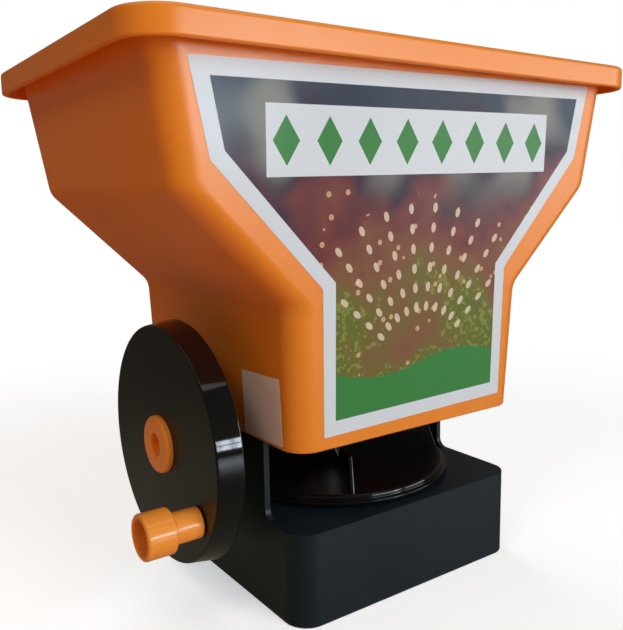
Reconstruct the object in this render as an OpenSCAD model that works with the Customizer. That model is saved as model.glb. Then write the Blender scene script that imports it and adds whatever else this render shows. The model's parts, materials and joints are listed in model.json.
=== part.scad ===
// Hand-cranked broadcast spreader: a hopper on a black stand with a spinner disc in the open chamber between.
// Millimetres, +Z up. The origin is the middle of the stand's underside, the label side faces -Y
// and the crank wheel is on the -X side.

/* [Stand] */
// Outside width of the stand and of the hopper's lower box
body_w = 122; // [116:1:134]
// Outside depth of the stand and of the hopper's lower box
body_d = 135; // [128:1:150]
// Radius of the upright corners
body_corner = 10.5; // [8:0.5:14]
// Wall thickness of the black housing
housing_wall = 2.5; // [2:0.1:3]
// Height of the base box
base_h = 39; // [34:1:50]
// Height of the open chamber between the base box and the hopper
chamber_h = 33; // [32:0.5:45]
// How far the left chamber wall reaches forward of the centre
left_wall_reach = 43.5; // [30:0.5:50]
// How far the right chamber wall reaches forward of the centre
right_wall_reach = 20.5; // [12:0.5:40]
// Radius of the fillet at the foot of each chamber wall's front edge
foot_fillet = 4.5; // [2:0.5:8]
// Thickness of the base's bottom cover
cover_t = 3; // [2.5:0.1:4]

/* [Hopper] */
// Wall thickness of the hopper
hopper_wall = 2.2; // [1.8:0.1:3]
// Height of the hopper floor's underside above the hopper's lower edge
floor_rise = 18; // [17:0.5:26]
// Thickness of the hopper floor
floor_t = 2.5; // [2:0.1:4]
// Height of the hopper's lower box
lower_h = 56.5; // [50:0.5:70]
// Height of the sloping part of the hopper
slope_h = 43.5; // [35:0.5:55]
// Height of the upper box, from the slope to the rim's lower edge
upper_h = 44; // [35:0.5:60]
// Outward lean of each side over the lower box
lower_flare = 1.5; // [0.5:0.25:4]
// Outward run of each side over the slope
slope_run = 44.75; // [30:0.25:50]
// Outward lean of each side over the upper box
upper_flare = 7; // [3:0.25:10]
// Outward lean of the front and the back over the whole hopper
face_flare = 6.75; // [4:0.25:10]
// Rounding of the knees between box and slope
knee_round = 9; // [4:0.5:14]

/* [Rim] */
// How far the rim stands out beyond the sides
rim_side = 9.75; // [8:0.25:16]
// How far the rim stands out beyond the front and the back
rim_front = 9; // [8:0.25:18]
// Height of the turned-down rim
rim_h = 9.7; // [6:0.1:14]
// Thickness of the rim
rim_t = 2.2; // [1.6:0.1:3]
// Corner radius of the rim
rim_corner = 17; // [12:0.5:36]
// Rounding of the rim's upper edge
rim_round = 3.5; // [1:0.25:5]

/* [Rear handle] */
// Distance between the two arms' centres
handle_span = 94; // [80:1:105]
// Clear depth for fingers between the grip and the hopper
finger_gap = 33; // [28:1:45]
// Width of the grip, side to side
grip_w = 24; // [20:1:30]
// Thickness of the grip and the arms
grip_t = 14; // [12:0.5:16]
// Radius of the grip's bends at their centre line
grip_bend = 20; // [16:1:26]

/* [Crank] */
// Depth of the axle's centre below the hopper's lower edge
axle_drop = 4.5; // [4:0.25:5]
// Radius of the crank axle
axle_r = 3.5; // [3:0.1:4]
// Radius of the crank wheel at its face
wheel_r = 50; // [40:0.5:54]
// Growth of the wheel's radius from face to rear edge
wheel_flare = 1.7; // [0:0.1:3]
// Depth of the wheel's skirt
wheel_depth = 11; // [8:0.5:14]
// Gap between the wheel's rear edge and the housing
wheel_gap = 17; // [12:0.5:22]
// Thickness of the wheel's face and skirt
wheel_wall = 2.6; // [2:0.1:4]
// Radius of the hub cap
cap_r = 12.2; // [10:0.1:16]
// Thickness of the hub cap
cap_t = 3.1; // [2.5:0.1:6]
// Distance of the knob from the axle
knob_throw = 40; // [30:0.5:42]
// Direction of the knob from the axle at rest, from straight forward and downwards
knob_angle = 35; // [0:1:90]
// Radius of the knob's outer end
knob_r = 9; // [7.5:0.1:12]
// Length of the knob's outer end
knob_end_l = 12; // [10:0.5:20]
// Radius of the knob's neck
neck_r = 6.2; // [5.5:0.1:7]
// Length of the knob's neck
neck_l = 12; // [8:0.5:18]

/* [Spinner] */
// Distance of the spinner's centre in front of the stand's centre
spinner_forward = 7; // [4:0.5:10]
// Radius of the spinner disc
disc_r = 55.8; // [48:0.1:56.5]
// Thickness of the spinner disc
disc_t = 4; // [3:0.25:5]
// Gap between the spinner disc and the stand
disc_gap = 1.2; // [1:0.1:2]
// Radius that the vanes reach
vane_r = 53; // [44:0.5:54]
// Height of the vanes above the disc
vane_h = 15; // [10:0.25:15.5]
// Height of the vanes' inner part, which passes under the gear
vane_low_h = 6; // [3:0.25:6.5]
// Thickness of a vane
vane_t = 1.6; // [1.2:0.1:2.5]
// Direction of the first vane
vane_angle = -27; // [-90:1:0]
// Radius of the spinner shaft
shaft_r = 3; // [2.5:0.1:3.2]

/* [Gears] */
// Tooth size of the gear pair
gear_module = 1.1; // [1:0.05:1.15]
// Teeth of the crown gear on the axle
crown_teeth = 24; // [20:4:24]
// Teeth of the pinion on the spinner shaft
pinion_teeth = 12; // [12:1:12]
// Width of the pinion's teeth
pinion_face = 3; // [2:0.25:3.5]

/* [Flow gate] */
// Width of the outlet in the hopper floor
outlet_w = 26; // [18:1:30]
// Length of the outlet in the hopper floor
outlet_l = 22; // [14:1:22]
// Distance of the outlet's front edge behind the spinner's centre
outlet_back = 21; // [20:0.5:26]
// Thickness of the gate plate
gate_t = 2; // [1.5:0.1:2.2]
// Travel of the gate for each of its settings
gate_step = 8; // [5:0.5:9]

/* [Hidden] */
$fn = 64;

orange = [0.93, 0.49, 0.14];
black = [0.07, 0.07, 0.075];
gloss_black = [0.03, 0.03, 0.035];
steel = [0.7, 0.71, 0.73];
nylon = [0.85, 0.84, 0.8];

// Fits
run_gap = 0.05;     // radial clearance of a turning shaft
fit_gap = 0.03;     // radial clearance of pieces that are pressed or pinned together
slide_gap = 0.3;    // clearance of the sliding gate and of pieces that slip inside others
eps = 1;            // overshoot of a cut beyond the face that it opens
join = 1;           // how far a rib, vane or wire reaches into the piece that carries it
sink = 0.5;         // how far a tooth or vane starts below the face that it stands on

// Heights
hopper_z = base_h + chamber_h;
floor_z = hopper_z + floor_rise;
floor_top = floor_z + floor_t;
knee_z = hopper_z + lower_h;
wide_z = knee_z + slope_h;
rim_z = wide_z + upper_h;
top_z = rim_z + rim_h;
axle_z = hopper_z - axle_drop;
disc_z = base_h + disc_gap;
disc_top = disc_z + disc_t;
spinner_y = -spinner_forward;

// Fasteners
screw_r = 1.5;
screw_head_r = 3;
screw_head_h = 1.6;
pilot_gap = 0.05;
hole_gap = 0.25;
slot_w = 0.9;
slot_share = 0.6;   // share of the head's radius and height that the cross recess takes
screw_edge = 4.5;   // from a screw's centre to the edge of the flange that it holds
screw_end_gap = 1;  // from a screw's end to the bottom of its hole
cover_screw_l = 11;
hopper_screw_l = 11;
pin_r = 1.1;
pin_short = 0.3;    // how far a pin's ends stay below the hub's surface

// Bushes
bush_wall = 1.5;
flange_t = 0.9;
flange_out = 1.6;
boss_wall = 2;
lower_bush_l = 19;
upper_bush_rise = 2;
shaft_tail = 5;
axle_boss_l = 8.5;
bush_hole_r = shaft_r + run_gap + bush_wall + fit_gap;
axle_hole_r = axle_r + run_gap + bush_wall + fit_gap;
axle_boss_r = axle_hole_r + boss_wall;
bracket_t = 5;

// Chamber details
lip_t = 1.8;
lip_h = 6;
lip_back = 3;      // how far the lip starts behind each wall's front edge
lug_t = 3;
lug_side = 1;
post_r = 4;
post_inset = 11;
post_from_back = 15;
post_from_front = 9;
cover_boss_r = 4;
cover_boss_inset = 9;

// Where the hopper's four posts stand, as side and distance along Y
posts = [
  [-1, body_d / 2 - post_from_back],
  [1, body_d / 2 - post_from_back],
  [-1, post_from_front - left_wall_reach],
  [1, post_from_front - right_wall_reach]
];
post_x = body_w / 2 - post_inset;

// Gears: the crown's teeth point along +X and meet the pinion above the axle
pitch_p = gear_module * pinion_teeth / 2;
pitch_c = gear_module * crown_teeth / 2;
addendum = gear_module;
dedendum = 1.3 * gear_module;
crown_dedendum = 1.35 * gear_module;
crown_margin = 0.5;
crown_out = pitch_c + pinion_face / 2 + crown_margin;
crown_in = pitch_c - pinion_face / 2 - crown_margin;
crown_disc_t = 3;
crown_hub_r = 7;
crown_hub_l = 7;
crown_face_x = -pitch_p - crown_dedendum;
crown_tip_x = -pitch_p + addendum;
mesh_z = axle_z + pitch_c;
pinion_hub_r = 4.9;

// Wheel: positions along X
wheel_rear_x = -body_w / 2 - wheel_gap;
wheel_face_x = wheel_rear_x - wheel_depth;
axle_end_x = crown_face_x;
hub_r = 8;
hub_end_gap = 0.4;
hub_l = wheel_depth + wheel_gap - hub_end_gap;
cap_hole_r = axle_r + 1.3;
cap_round = 1.6;
plug_r = cap_hole_r + 1.6;
plug_l = 5;
plug_floor = 1.2;
plug_end_gap = 0.4;
axle_front_x = wheel_face_x + plug_l + plug_end_gap;
wheel_edge = 0.8;
rib_t = 1.6;
knob_y = -knob_throw * cos(knob_angle);
knob_z = -knob_throw * sin(knob_angle);
knob_pin_r = 3;
knob_pin_head_r = 5.2;
knob_pin_head_h = 2.2;
knob_wall = 2;
knob_gap = 0.4;
knob_floor = 0.5;
knob_chamfer = 1;
knob_round = 1.2;
pin_head_gap = 0.3;
knob_boss_r = 6;
knob_boss_l = 7;

// Gate: the plate slides just below the hopper floor and leaves through the back
gate_z = floor_z - slide_gap - gate_t;
gate_overlap = 2;
gate_side = 3;
outlet_corner = 3;
notch_r = 1;
outlet_y0 = spinner_y + outlet_back;
outlet_y1 = outlet_y0 + outlet_l;
gate_w = outlet_w + 2 * gate_side;
gate_front = outlet_y0 - gate_overlap;
gate_settings = 3;
tab_l = 12;
tab_h = 9;
tab_t = 3;
tab_lip = 5;
tab_w = gate_w - 2;
tab_corner = 2.4;
rivet_inset = 4;
rivet_head_r = 2;
rivet_head_h = 1;
tab_gap = 1.5;
gate_end = half_d(gate_z) + tab_gap + tab_l;
rail_w = 8;
channel_t = 2.6;
spout_wall = 2;
spout_gap = 2.2;
channel_z = gate_z - slide_gap - channel_t;
channel_lead = 2;
channel_end_gap = 3;
channel_front = gate_front - channel_lead;
channel_back = body_d / 2 - hopper_wall - channel_end_gap;
spout_screw_inset = 6;

// Handle
pad_w = 42;
pad_h = 18;
handle_gap = 1.5;
pad_t = 4;
pad_corner = 5;
pad_screw_x = 15.5;
handle_low_z = gate_z + gate_t + rivet_head_h + handle_gap + pad_h / 2;
handle_top_z = handle_low_z + handle_span;
grip_y = half_d(handle_top_z) + finger_gap + grip_t / 2;
face_angle = atan(face_flare / (rim_z - hopper_z));

// Agitator
agitator_gap = 5;
agitator_hub_r = 6;
agitator_h = 9;
agitator_reach = 18;
agitator_wire_r = 1.7;
agitator_finger = 9;

// Half depth of the hopper's outside at height z, which is also where its back is
function half_d(z) = body_d / 2 + face_flare * (z - hopper_z) / (rim_z - hopper_z);
// Half width of the lower box's outside at height z
function low_half_w(z) = body_w / 2 + lower_flare * (z - hopper_z) / lower_h;

function unit(v) = v / norm(v);
// Points of an arc of radius r that rounds the corner b between a and c
function fillet(a, b, c, r, n) =
  let (
    u = unit(a - b),
    v = unit(c - b),
    half = acos(u * v) / 2,
    m = b + unit(u + v) * r / sin(half),
    p = b + u * r / tan(half) - m,
    q = b + v * r / tan(half) - m,
    a0 = atan2(p[1], p[0]),
    turn = (atan2(q[1], q[0]) - a0 + 540) % 360 - 180
  )
  [for (i = [0:n]) m + r * [cos(a0 + turn * i / n), sin(a0 + turn * i / n)]];
// The corner b between a and c, moved inwards by t
function inset(a, b, c, t) =
  let (
    u = unit(b - a),
    v = unit(c - b),
    n1 = [-u[1], u[0]],
    n2 = [-v[1], v[0]]
  )
  b + t * (n1 + n2) / (1 + n1 * n2);
function reverse(list) = [for (i = [len(list) - 1:-1:0]) list[i]];

// A rounded rectangle of half sizes hw and hd at height z
corner_steps = 7;
function ring(hw, hd, r, z) = [
  for (k = [0:3], i = [0:corner_steps])
    let (
      a = 90 * (k + i / corner_steps),
      sx = (k == 0 || k == 3) ? 1 : -1,
      sy = (k < 2) ? 1 : -1
    )
    [sx * (hw - r) + r * cos(a), sy * (hd - r) + r * sin(a), z]
];
// A closed solid through a row of rings with equal counts
module loft(rings) {
  n = len(rings[0]);
  m = len(rings);
  sides = [
    for (i = [0:m - 2], j = [0:n - 1])
      let (k = (j + 1) % n)
      [i * n + j, (i + 1) * n + j, (i + 1) * n + k, i * n + k]
  ];
  polyhedron(
    points = [for (r = rings) each r],
    faces = concat([[for (j = [0:n - 1]) j]], sides, [[for (j = [n - 1:-1:0]) (m - 1) * n + j]]),
    convexity = 10
  );
}

// Plain shapes
module rounded_block(w, d, h, r) {
  translate([-w / 2 + r, -d / 2, 0]) cube([w - 2 * r, d, h]);
  translate([-w / 2, -d / 2 + r, 0]) cube([w, d - 2 * r, h]);
  for (sx = [-1, 1], sy = [-1, 1])
    translate([sx * (w / 2 - r), sy * (d / 2 - r), 0]) cylinder(r = r, h = h);
}
module rod_x(r, x0, x1) {
  translate([x0, 0, 0]) rotate([0, 90, 0]) cylinder(r = r, h = x1 - x0);
}
module tube(r_out, r_in, z0, z1) {
  translate([0, 0, z0]) difference() {
    cylinder(r = r_out, h = z1 - z0);
    translate([0, 0, -eps]) cylinder(r = r_in, h = z1 - z0 + 2 * eps);
  }
}
module on_axle() { translate([0, spinner_y, axle_z]) children(); }
module on_spinner() { translate([0, spinner_y, 0]) children(); }
module on_knob() { on_axle() translate([0, knob_y, knob_z]) children(); }
module on_back(z) { translate([0, half_d(z), z]) rotate([-face_angle, 0, 0]) children(); }

// A screw that points up, with its head below z = 0 and a cross recess
module screw(length) {
  cylinder(r = screw_r, h = length);
  difference() {
    translate([0, 0, -screw_head_h]) cylinder(r = screw_head_r, h = screw_head_h);
    for (a = [0, 90])
      rotate([0, 0, a])
        translate([-screw_head_r * slot_share, -slot_w / 2, -screw_head_h - eps])
          cube([2 * screw_head_r * slot_share, slot_w, screw_head_h * slot_share + eps]);
  }
}
module pilot(length) {
  translate([0, 0, -eps]) cylinder(r = screw_r + pilot_gap, h = length + eps);
}
module clear_hole(length) {
  translate([0, 0, -eps]) cylinder(r = screw_r + hole_gap, h = length + 2 * eps);
}
module bush(r, length, flange_end) {
  tube(r + run_gap + bush_wall, r + run_gap, 0, length);
  translate([0, 0, flange_end])
    tube(r + run_gap + bush_wall + flange_out, r + run_gap, 0, flange_t);
}

// Stand
module base_shell() {
  difference() {
    rounded_block(body_w, body_d, base_h, body_corner);
    translate([0, 0, -eps])
      rounded_block(body_w - 2 * housing_wall, body_d - 2 * housing_wall,
                    base_h - housing_wall + eps, body_corner - housing_wall);
  }
}
// A wall of thickness t round the chamber, set in from the outside and set back from the open front
module chamber_ring(z0, z1, set_in, set_back, t) {
  difference() {
    translate([0, 0, z0])
      rounded_block(body_w - 2 * set_in, body_d - 2 * set_in, z1 - z0, body_corner - set_in);
    translate([0, 0, z0 - eps])
      rounded_block(body_w - 2 * (set_in + t), body_d - 2 * (set_in + t), z1 - z0 + 2 * eps,
                    body_corner - set_in - t);
    translate([-body_w, -body_d, z0 - eps])
      cube([body_w, body_d - left_wall_reach + set_back, z1 - z0 + 2 * eps]);
    translate([0, -body_d, z0 - eps])
      cube([body_w, body_d - right_wall_reach + set_back, z1 - z0 + 2 * eps]);
  }
}
module wall_foot(side, reach) {
  translate([side > 0 ? body_w / 2 - housing_wall : -body_w / 2, -reach - foot_fillet, base_h])
    difference() {
      cube([housing_wall, foot_fillet, foot_fillet]);
      translate([-eps, 0, foot_fillet]) rotate([0, 90, 0])
        cylinder(r = foot_fillet, h = housing_wall + 2 * eps);
    }
}
module hopper_lug(side, y) {
  reach = post_inset + post_r - housing_wall - lip_t / 2;
  half_l = post_r + lug_side;
  translate([side > 0 ? post_x - post_r : -post_x + post_r - reach, y - half_l, hopper_z + lip_h - lug_t])
    cube([reach, 2 * half_l, lug_t]);
}
module cover_boss_places() {
  for (sx = [-1, 1], sy = [-1, 1])
    translate([sx * (body_w / 2 - cover_boss_inset), sy * (body_d / 2 - cover_boss_inset), 0]) children();
}
module base_housing() color(black) difference() {
  union() {
    base_shell();
    chamber_ring(base_h - housing_wall, hopper_z, 0, 0, housing_wall);
    chamber_ring(hopper_z - lip_h, hopper_z + lip_h, housing_wall, lip_back, lip_t);
    wall_foot(-1, left_wall_reach);
    wall_foot(1, right_wall_reach);
    for (p = posts) hopper_lug(p[0], p[1]);
    on_axle() rod_x(axle_boss_r, -body_w / 2, -body_w / 2 + housing_wall + axle_boss_l);
    on_spinner() translate([0, 0, base_h - lower_bush_l])
      cylinder(r = bush_hole_r + boss_wall, h = lower_bush_l - housing_wall / 2);
    cover_boss_places() translate([0, 0, cover_t])
      cylinder(r = cover_boss_r, h = base_h - housing_wall / 2 - cover_t);
  }
  on_spinner() translate([0, 0, base_h - lower_bush_l - eps])
    cylinder(r = bush_hole_r, h = lower_bush_l + 2 * eps);
  on_axle() rod_x(axle_hole_r, -body_w / 2 - eps, -body_w / 2 + housing_wall + axle_boss_l + eps);
  cover_boss_places() translate([0, 0, cover_t]) pilot(cover_screw_l);
  for (p = posts) translate([p[0] * post_x, p[1], hopper_z + lip_h - lug_t]) clear_hole(lug_t);
}
module base_cover() color(black) difference() {
  rounded_block(body_w - 2 * housing_wall - 2 * slide_gap, body_d - 2 * housing_wall - 2 * slide_gap, cover_t,
                body_corner - housing_wall - slide_gap);
  cover_boss_places() {
    clear_hole(cover_t);
    translate([0, 0, -eps]) cylinder(r = screw_head_r + hole_gap, h = screw_head_h + hole_gap + eps);
  }
}
module base_cover_screws() color(steel)
  cover_boss_places() translate([0, 0, screw_head_h + hole_gap]) screw(cover_screw_l);

// Hopper
hopper_corners = [
  [body_w / 2, hopper_z],
  [body_w / 2 + lower_flare, knee_z],
  [body_w / 2 + lower_flare + slope_run, wide_z],
  [body_w / 2 + lower_flare + slope_run + upper_flare * (upper_h + rim_h) / upper_h, top_z]
];
knee_steps = 5;
module hopper_shell() {
  c = hopper_corners;
  t = hopper_wall;
  in_low = inset(c[0], c[1], c[2], t);
  in_wide = inset(c[1], c[2], c[3], t);
  in_floor = [low_half_w(floor_top) - t, floor_top];
  in_top = [c[3][0] - t, top_z];
  rim_hw = c[3][0] - upper_flare * rim_h / upper_h + rim_side;
  rim_hd = half_d(rim_z) + rim_front;
  plate_z = top_z - rim_t;
  plate_w = c[3][0] - upper_flare * rim_t / upper_h;
  top_corner = max(body_corner, rim_corner - min(rim_side, rim_front));
  outside = concat(
    [c[0]],
    fillet(c[0], c[1], c[2], knee_round, knee_steps),
    fillet(c[1], c[2], c[3], knee_round, knee_steps)
  );
  inside = concat(
    reverse(fillet(in_low, in_wide, in_top, knee_round - t, knee_steps)),
    reverse(fillet(in_floor, in_low, in_wide, knee_round + t, knee_steps)),
    [in_floor]
  );
  loft(concat(
    [ring(low_half_w(floor_z) - t, half_d(floor_z) - t, body_corner - t, floor_z)],
    [ring(c[0][0] - t, half_d(hopper_z) - t, body_corner - t, hopper_z)],
    [for (p = outside) ring(p[0], half_d(p[1]), body_corner, p[1])],
    [ring(plate_w, half_d(plate_z), top_corner, plate_z)],
    [for (z = [plate_z, rim_z]) ring(rim_hw - rim_t, rim_hd - rim_t, rim_corner - rim_t, z)],
    [ring(rim_hw, rim_hd, rim_corner, rim_z)],
    [
      for (a = [0:22.5:90])
        let (in = rim_round * (1 - cos(a)))
        ring(rim_hw - in, rim_hd - in, rim_corner - in, top_z - rim_round * (1 - sin(a)))
    ],
    [ring(in_top[0], half_d(top_z) - t, top_corner - t, top_z)],
    [for (p = inside) ring(p[0], half_d(p[1]) - t, body_corner - t, p[1])]
  ));
}
module outlet_cut(z0, z1, grow) {
  translate([0, (outlet_y0 + outlet_y1) / 2, z0])
    rounded_block(outlet_w + 2 * grow, outlet_l + 2 * grow, z1 - z0, outlet_corner + grow);
}
module spout_screw_places() {
  for (sx = [-1, 1], y = [channel_front + spout_screw_inset, channel_back - spout_screw_inset])
    translate([sx * (gate_w / 2 + slide_gap + rail_w / 2), y, 0]) children();
}
module bracket_screw_places() {
  for (sy = [-1, 1])
    translate([-bracket_x - bracket_t / 2, spinner_y + sy * bracket_screw_y, 0]) children();
}
module handle_screw_places() {
  for (z = [handle_top_z, handle_low_z], sx = [-1, 1])
    on_back(z) translate([sx * pad_screw_x, -hopper_wall, 0]) rotate([-90, 0, 0]) children();
}
module hopper() color(orange) difference() {
  union() {
    hopper_shell();
    for (p = posts)
      translate([p[0] * post_x, p[1], hopper_z + lip_h])
        cylinder(r = post_r, h = floor_z + floor_t / 2 - hopper_z - lip_h);
  }
  on_spinner() translate([0, 0, floor_z - eps]) cylinder(r = bush_hole_r, h = floor_t + 2 * eps);
  on_axle() rod_x(axle_boss_r + slide_gap, -body_w / 2 - lower_flare - eps, -body_w / 2 + hopper_wall + eps);
  outlet_cut(floor_z - eps, floor_top + eps, 0);
  translate([-gate_w / 2 - slide_gap, body_d / 2 - hopper_wall - eps, gate_z - slide_gap])
    cube([gate_w + 2 * slide_gap, hopper_wall + face_flare + 2 * eps, gate_t + 1.5 * slide_gap]);
  for (p = posts) translate([p[0] * post_x, p[1], hopper_z + lip_h]) pilot(hopper_screw_l - lug_t + hole_gap);
  spout_screw_places() translate([0, 0, floor_z]) clear_hole(floor_t);
  bracket_screw_places() translate([0, 0, floor_z]) clear_hole(floor_t);
  handle_screw_places() clear_hole(hopper_wall);
}
module hopper_screws() color(steel)
  for (p = posts) translate([p[0] * post_x, p[1], hopper_z + lip_h - lug_t]) screw(hopper_screw_l);

// Bushes that stay with the housing
module shaft_lower_bush() color(nylon) on_spinner()
  translate([0, 0, base_h - lower_bush_l]) bush(shaft_r, lower_bush_l, lower_bush_l);
module shaft_upper_bush() color(nylon) on_spinner()
  translate([0, 0, floor_z - flange_t]) bush(shaft_r, flange_t + floor_t + upper_bush_rise, 0);
module axle_outer_bush() color(nylon) on_axle()
  translate([-body_w / 2, 0, 0]) rotate([0, 90, 0])
    bush(axle_r, housing_wall + axle_boss_l, housing_wall + axle_boss_l);

// Bracket that hangs from the hopper floor and carries the axle's inner end
bracket_gap = 1.2;
bracket_x = crown_disc_t - crown_face_x + crown_hub_l + flange_t + 2 * bracket_gap;
bracket_screw_y = 11;
bracket_flange_t = 4;
bracket_flange_side = 3;
bracket_flange_w = bracket_t + 2 * bracket_flange_side;
bracket_corner = 4;
module gear_bracket() color(black) difference() {
  union() {
    translate([-bracket_x - bracket_t, spinner_y - axle_boss_r, axle_z])
      cube([bracket_t, 2 * axle_boss_r, floor_z - axle_z]);
    on_axle() rod_x(axle_boss_r, -bracket_x - bracket_t, -bracket_x);
    translate([-bracket_x - bracket_t / 2, spinner_y, floor_z - bracket_flange_t])
      rounded_block(bracket_flange_w, 2 * (bracket_screw_y + screw_edge), bracket_flange_t, bracket_corner);
  }
  on_axle() rod_x(axle_hole_r, -bracket_x - bracket_t - eps, -bracket_x + eps);
  bracket_screw_places() translate([0, 0, floor_z - bracket_flange_t]) pilot(bracket_flange_t + eps);
}
module bracket_screws() color(steel)
  bracket_screw_places() translate([0, 0, floor_top]) mirror([0, 0, 1]) screw(floor_t + bracket_flange_t);
module axle_inner_bush() color(nylon) on_axle()
  translate([-bracket_x - bracket_t, 0, 0]) rotate([0, 90, 0]) bush(axle_r, bracket_t, bracket_t);

// Outlet spout with the channel that guides the gate
module outlet_spout() color(black) difference() {
  union() {
    translate([-gate_w / 2 - slide_gap - rail_w, channel_front, channel_z])
      cube([gate_w + 2 * slide_gap + 2 * rail_w, channel_back - channel_front, channel_t]);
    for (x = [gate_w / 2 + slide_gap, -gate_w / 2 - slide_gap - rail_w])
      translate([x, channel_front, channel_z])
        cube([rail_w, channel_back - channel_front, floor_z - channel_z]);
    outlet_cut(disc_top + vane_h + spout_gap, channel_z + channel_t / 2, spout_wall);
  }
  outlet_cut(disc_top, floor_z, 0);
  spout_screw_places() translate([0, 0, channel_z]) pilot(floor_z - channel_z + eps);
}
module spout_screws() color(steel)
  spout_screw_places() translate([0, 0, floor_top]) mirror([0, 0, 1])
    screw(floor_top - channel_z - screw_end_gap);

// Flow gate with a notch on its edge for each setting, and its pull tab outside the back
rivet_x = 9;
module gate_rivet_places() {
  for (sx = [-1, 1]) translate([sx * rivet_x, gate_end - tab_l + rivet_inset, gate_z]) children();
}
module flow_gate() color(steel) difference() {
  translate([-gate_w / 2, gate_front, gate_z]) cube([gate_w, gate_end - gate_front, gate_t]);
  for (i = [0:gate_settings])
    translate([gate_w / 2, channel_back - tab_gap - i * gate_step, gate_z - eps])
      cylinder(r = notch_r, h = gate_t + 2 * eps);
  gate_rivet_places() translate([0, 0, -eps]) cylinder(r = pin_r + fit_gap, h = gate_t + 2 * eps);
}
module gate_tab() color(orange) difference() {
  union() {
    translate([0, gate_end - tab_l / 2, gate_z - tab_t]) rounded_block(tab_w, tab_l, tab_t, tab_corner);
    translate([0, gate_end - tab_lip / 2, gate_z - tab_h])
      rounded_block(tab_w, tab_lip, tab_h, tab_corner);
  }
  gate_rivet_places() translate([0, 0, -tab_t]) cylinder(r = pin_r + fit_gap, h = tab_t + eps);
}
module gate_rivets() color(steel) gate_rivet_places() {
  translate([0, 0, -tab_t]) cylinder(r = pin_r, h = tab_t + gate_t);
  translate([0, 0, gate_t]) cylinder(r = rivet_head_r, h = rivet_head_h);
}

// Rear handle
module grip_section() {
  for (s = [-1, 1]) translate([0, s * (grip_w - grip_t) / 2]) circle(r = grip_t / 2);
  square([grip_t, grip_w - grip_t], center = true);
}
module handle_arm(z, turn) {
  bend_y = grip_y - grip_bend;
  translate([0, bend_y, z]) rotate([90, 0, 0]) rotate([0, 0, 90])
    linear_extrude(height = bend_y - half_d(z) - pad_t / 2) grip_section();
  translate([0, bend_y, z - turn * grip_bend]) rotate([0, 90, 0])
    rotate([0, 0, turn > 0 ? 90 : 0])
      rotate_extrude(angle = 90) translate([grip_bend, 0]) grip_section();
}
module rear_handle() color(orange) difference() {
  union() {
    for (z = [handle_top_z, handle_low_z])
      on_back(z) rotate([-90, 0, 0]) rounded_block(pad_w, pad_h, pad_t, pad_corner);
    handle_arm(handle_top_z, 1);
    handle_arm(handle_low_z, -1);
    translate([0, grip_y, handle_low_z + grip_bend]) rotate([0, 0, 90])
      linear_extrude(height = handle_span - 2 * grip_bend) grip_section();
  }
  handle_screw_places() translate([0, 0, hopper_wall]) pilot(pad_t + eps);
}
module handle_screws() color(steel)
  handle_screw_places() screw(hopper_wall + pad_t - screw_end_gap);

// Spinner
vane_count = 4;
vane_clear = 12;
vane_low_r = crown_out + vane_clear;
vane_step = 3;
vane_lean = 5;
hub_over_vanes = 1.5;
hub_top = disc_top + vane_low_h + hub_over_vanes;
spinner_hub_r = 8;
spinner_pin_z = (disc_top + hub_top) / 2;
disc_step = 1.8;
disc_step_t = 1.5;
disc_round = 1.6;
module disc_profile() {
  r = disc_r - disc_step;
  polygon(concat(
    [[shaft_r + fit_gap, 0], [disc_r, 0], [disc_r, disc_step_t], [r, disc_step_t]],
    [
      for (a = [0:15:90])
        [r - disc_round * (1 - cos(a)), disc_t - disc_round * (1 - sin(a))]
    ],
    [[shaft_r + fit_gap, disc_t]]
  ));
}
module vane() {
  rotate([90, 0, 0]) translate([0, 0, -vane_t / 2]) linear_extrude(height = vane_t)
    polygon([
      [spinner_hub_r - join, disc_top - sink], [vane_r, disc_top - sink], [vane_r, disc_top],
      [vane_r - vane_lean, disc_top + vane_h], [vane_low_r, disc_top + vane_h],
      [vane_low_r - vane_step, disc_top + vane_low_h], [spinner_hub_r - join, disc_top + vane_low_h]
    ]);
}
module spinner_disc() color(gloss_black) on_spinner() difference() {
  union() {
    translate([0, 0, disc_z]) rotate_extrude() disc_profile();
    translate([0, 0, disc_z]) cylinder(r = spinner_hub_r, h = hub_top - disc_z);
    for (i = [0:vane_count - 1]) rotate([0, 0, vane_angle + 360 * i / vane_count]) vane();
  }
  translate([0, 0, disc_z - eps]) cylinder(r = shaft_r + fit_gap, h = hub_top - disc_z + 2 * eps);
  spinner_pin_shape(pin_r + fit_gap, eps);
}
module spinner_pin_shape(r, extra) {
  rotate([0, 0, vane_angle + 180 / vane_count]) translate([0, 0, spinner_pin_z])
    rod_x(r, -spinner_hub_r - extra, spinner_hub_r + extra);
}
module pinion_pin_shape(r, extra) {
  translate([0, 0, pinion_pin_z]) rod_x(r, -pinion_hub_r - extra, pinion_hub_r + extra);
}
shaft_low_z = base_h - lower_bush_l - shaft_tail;
shaft_top_z = floor_top + agitator_gap + agitator_h;
pinion_hub_gap = 0.6;
pinion_hub_top = floor_z - flange_t - pinion_hub_gap;
pinion_pin_z = (mesh_z + pinion_face / 2 + pinion_hub_top) / 2;
module spinner_shaft() color(steel) on_spinner() difference() {
  translate([0, 0, shaft_low_z]) cylinder(r = shaft_r, h = shaft_top_z - shaft_low_z);
  spinner_pin_shape(pin_r + fit_gap, 0);
  pinion_pin_shape(pin_r + fit_gap, 0);
}
module spinner_pin() color(steel) on_spinner() spinner_pin_shape(pin_r, 0);
module pinion_pin() color(steel) on_spinner() pinion_pin_shape(pin_r, -pin_short);
clip_out = 3;
clip_t = 1;
clip_gap = 0.5;
clip_z = base_h - lower_bush_l - clip_gap - clip_t;
module shaft_clip() color(steel) on_spinner()
  tube(shaft_r + clip_out, shaft_r + fit_gap, clip_z, clip_z + clip_t);

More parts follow.
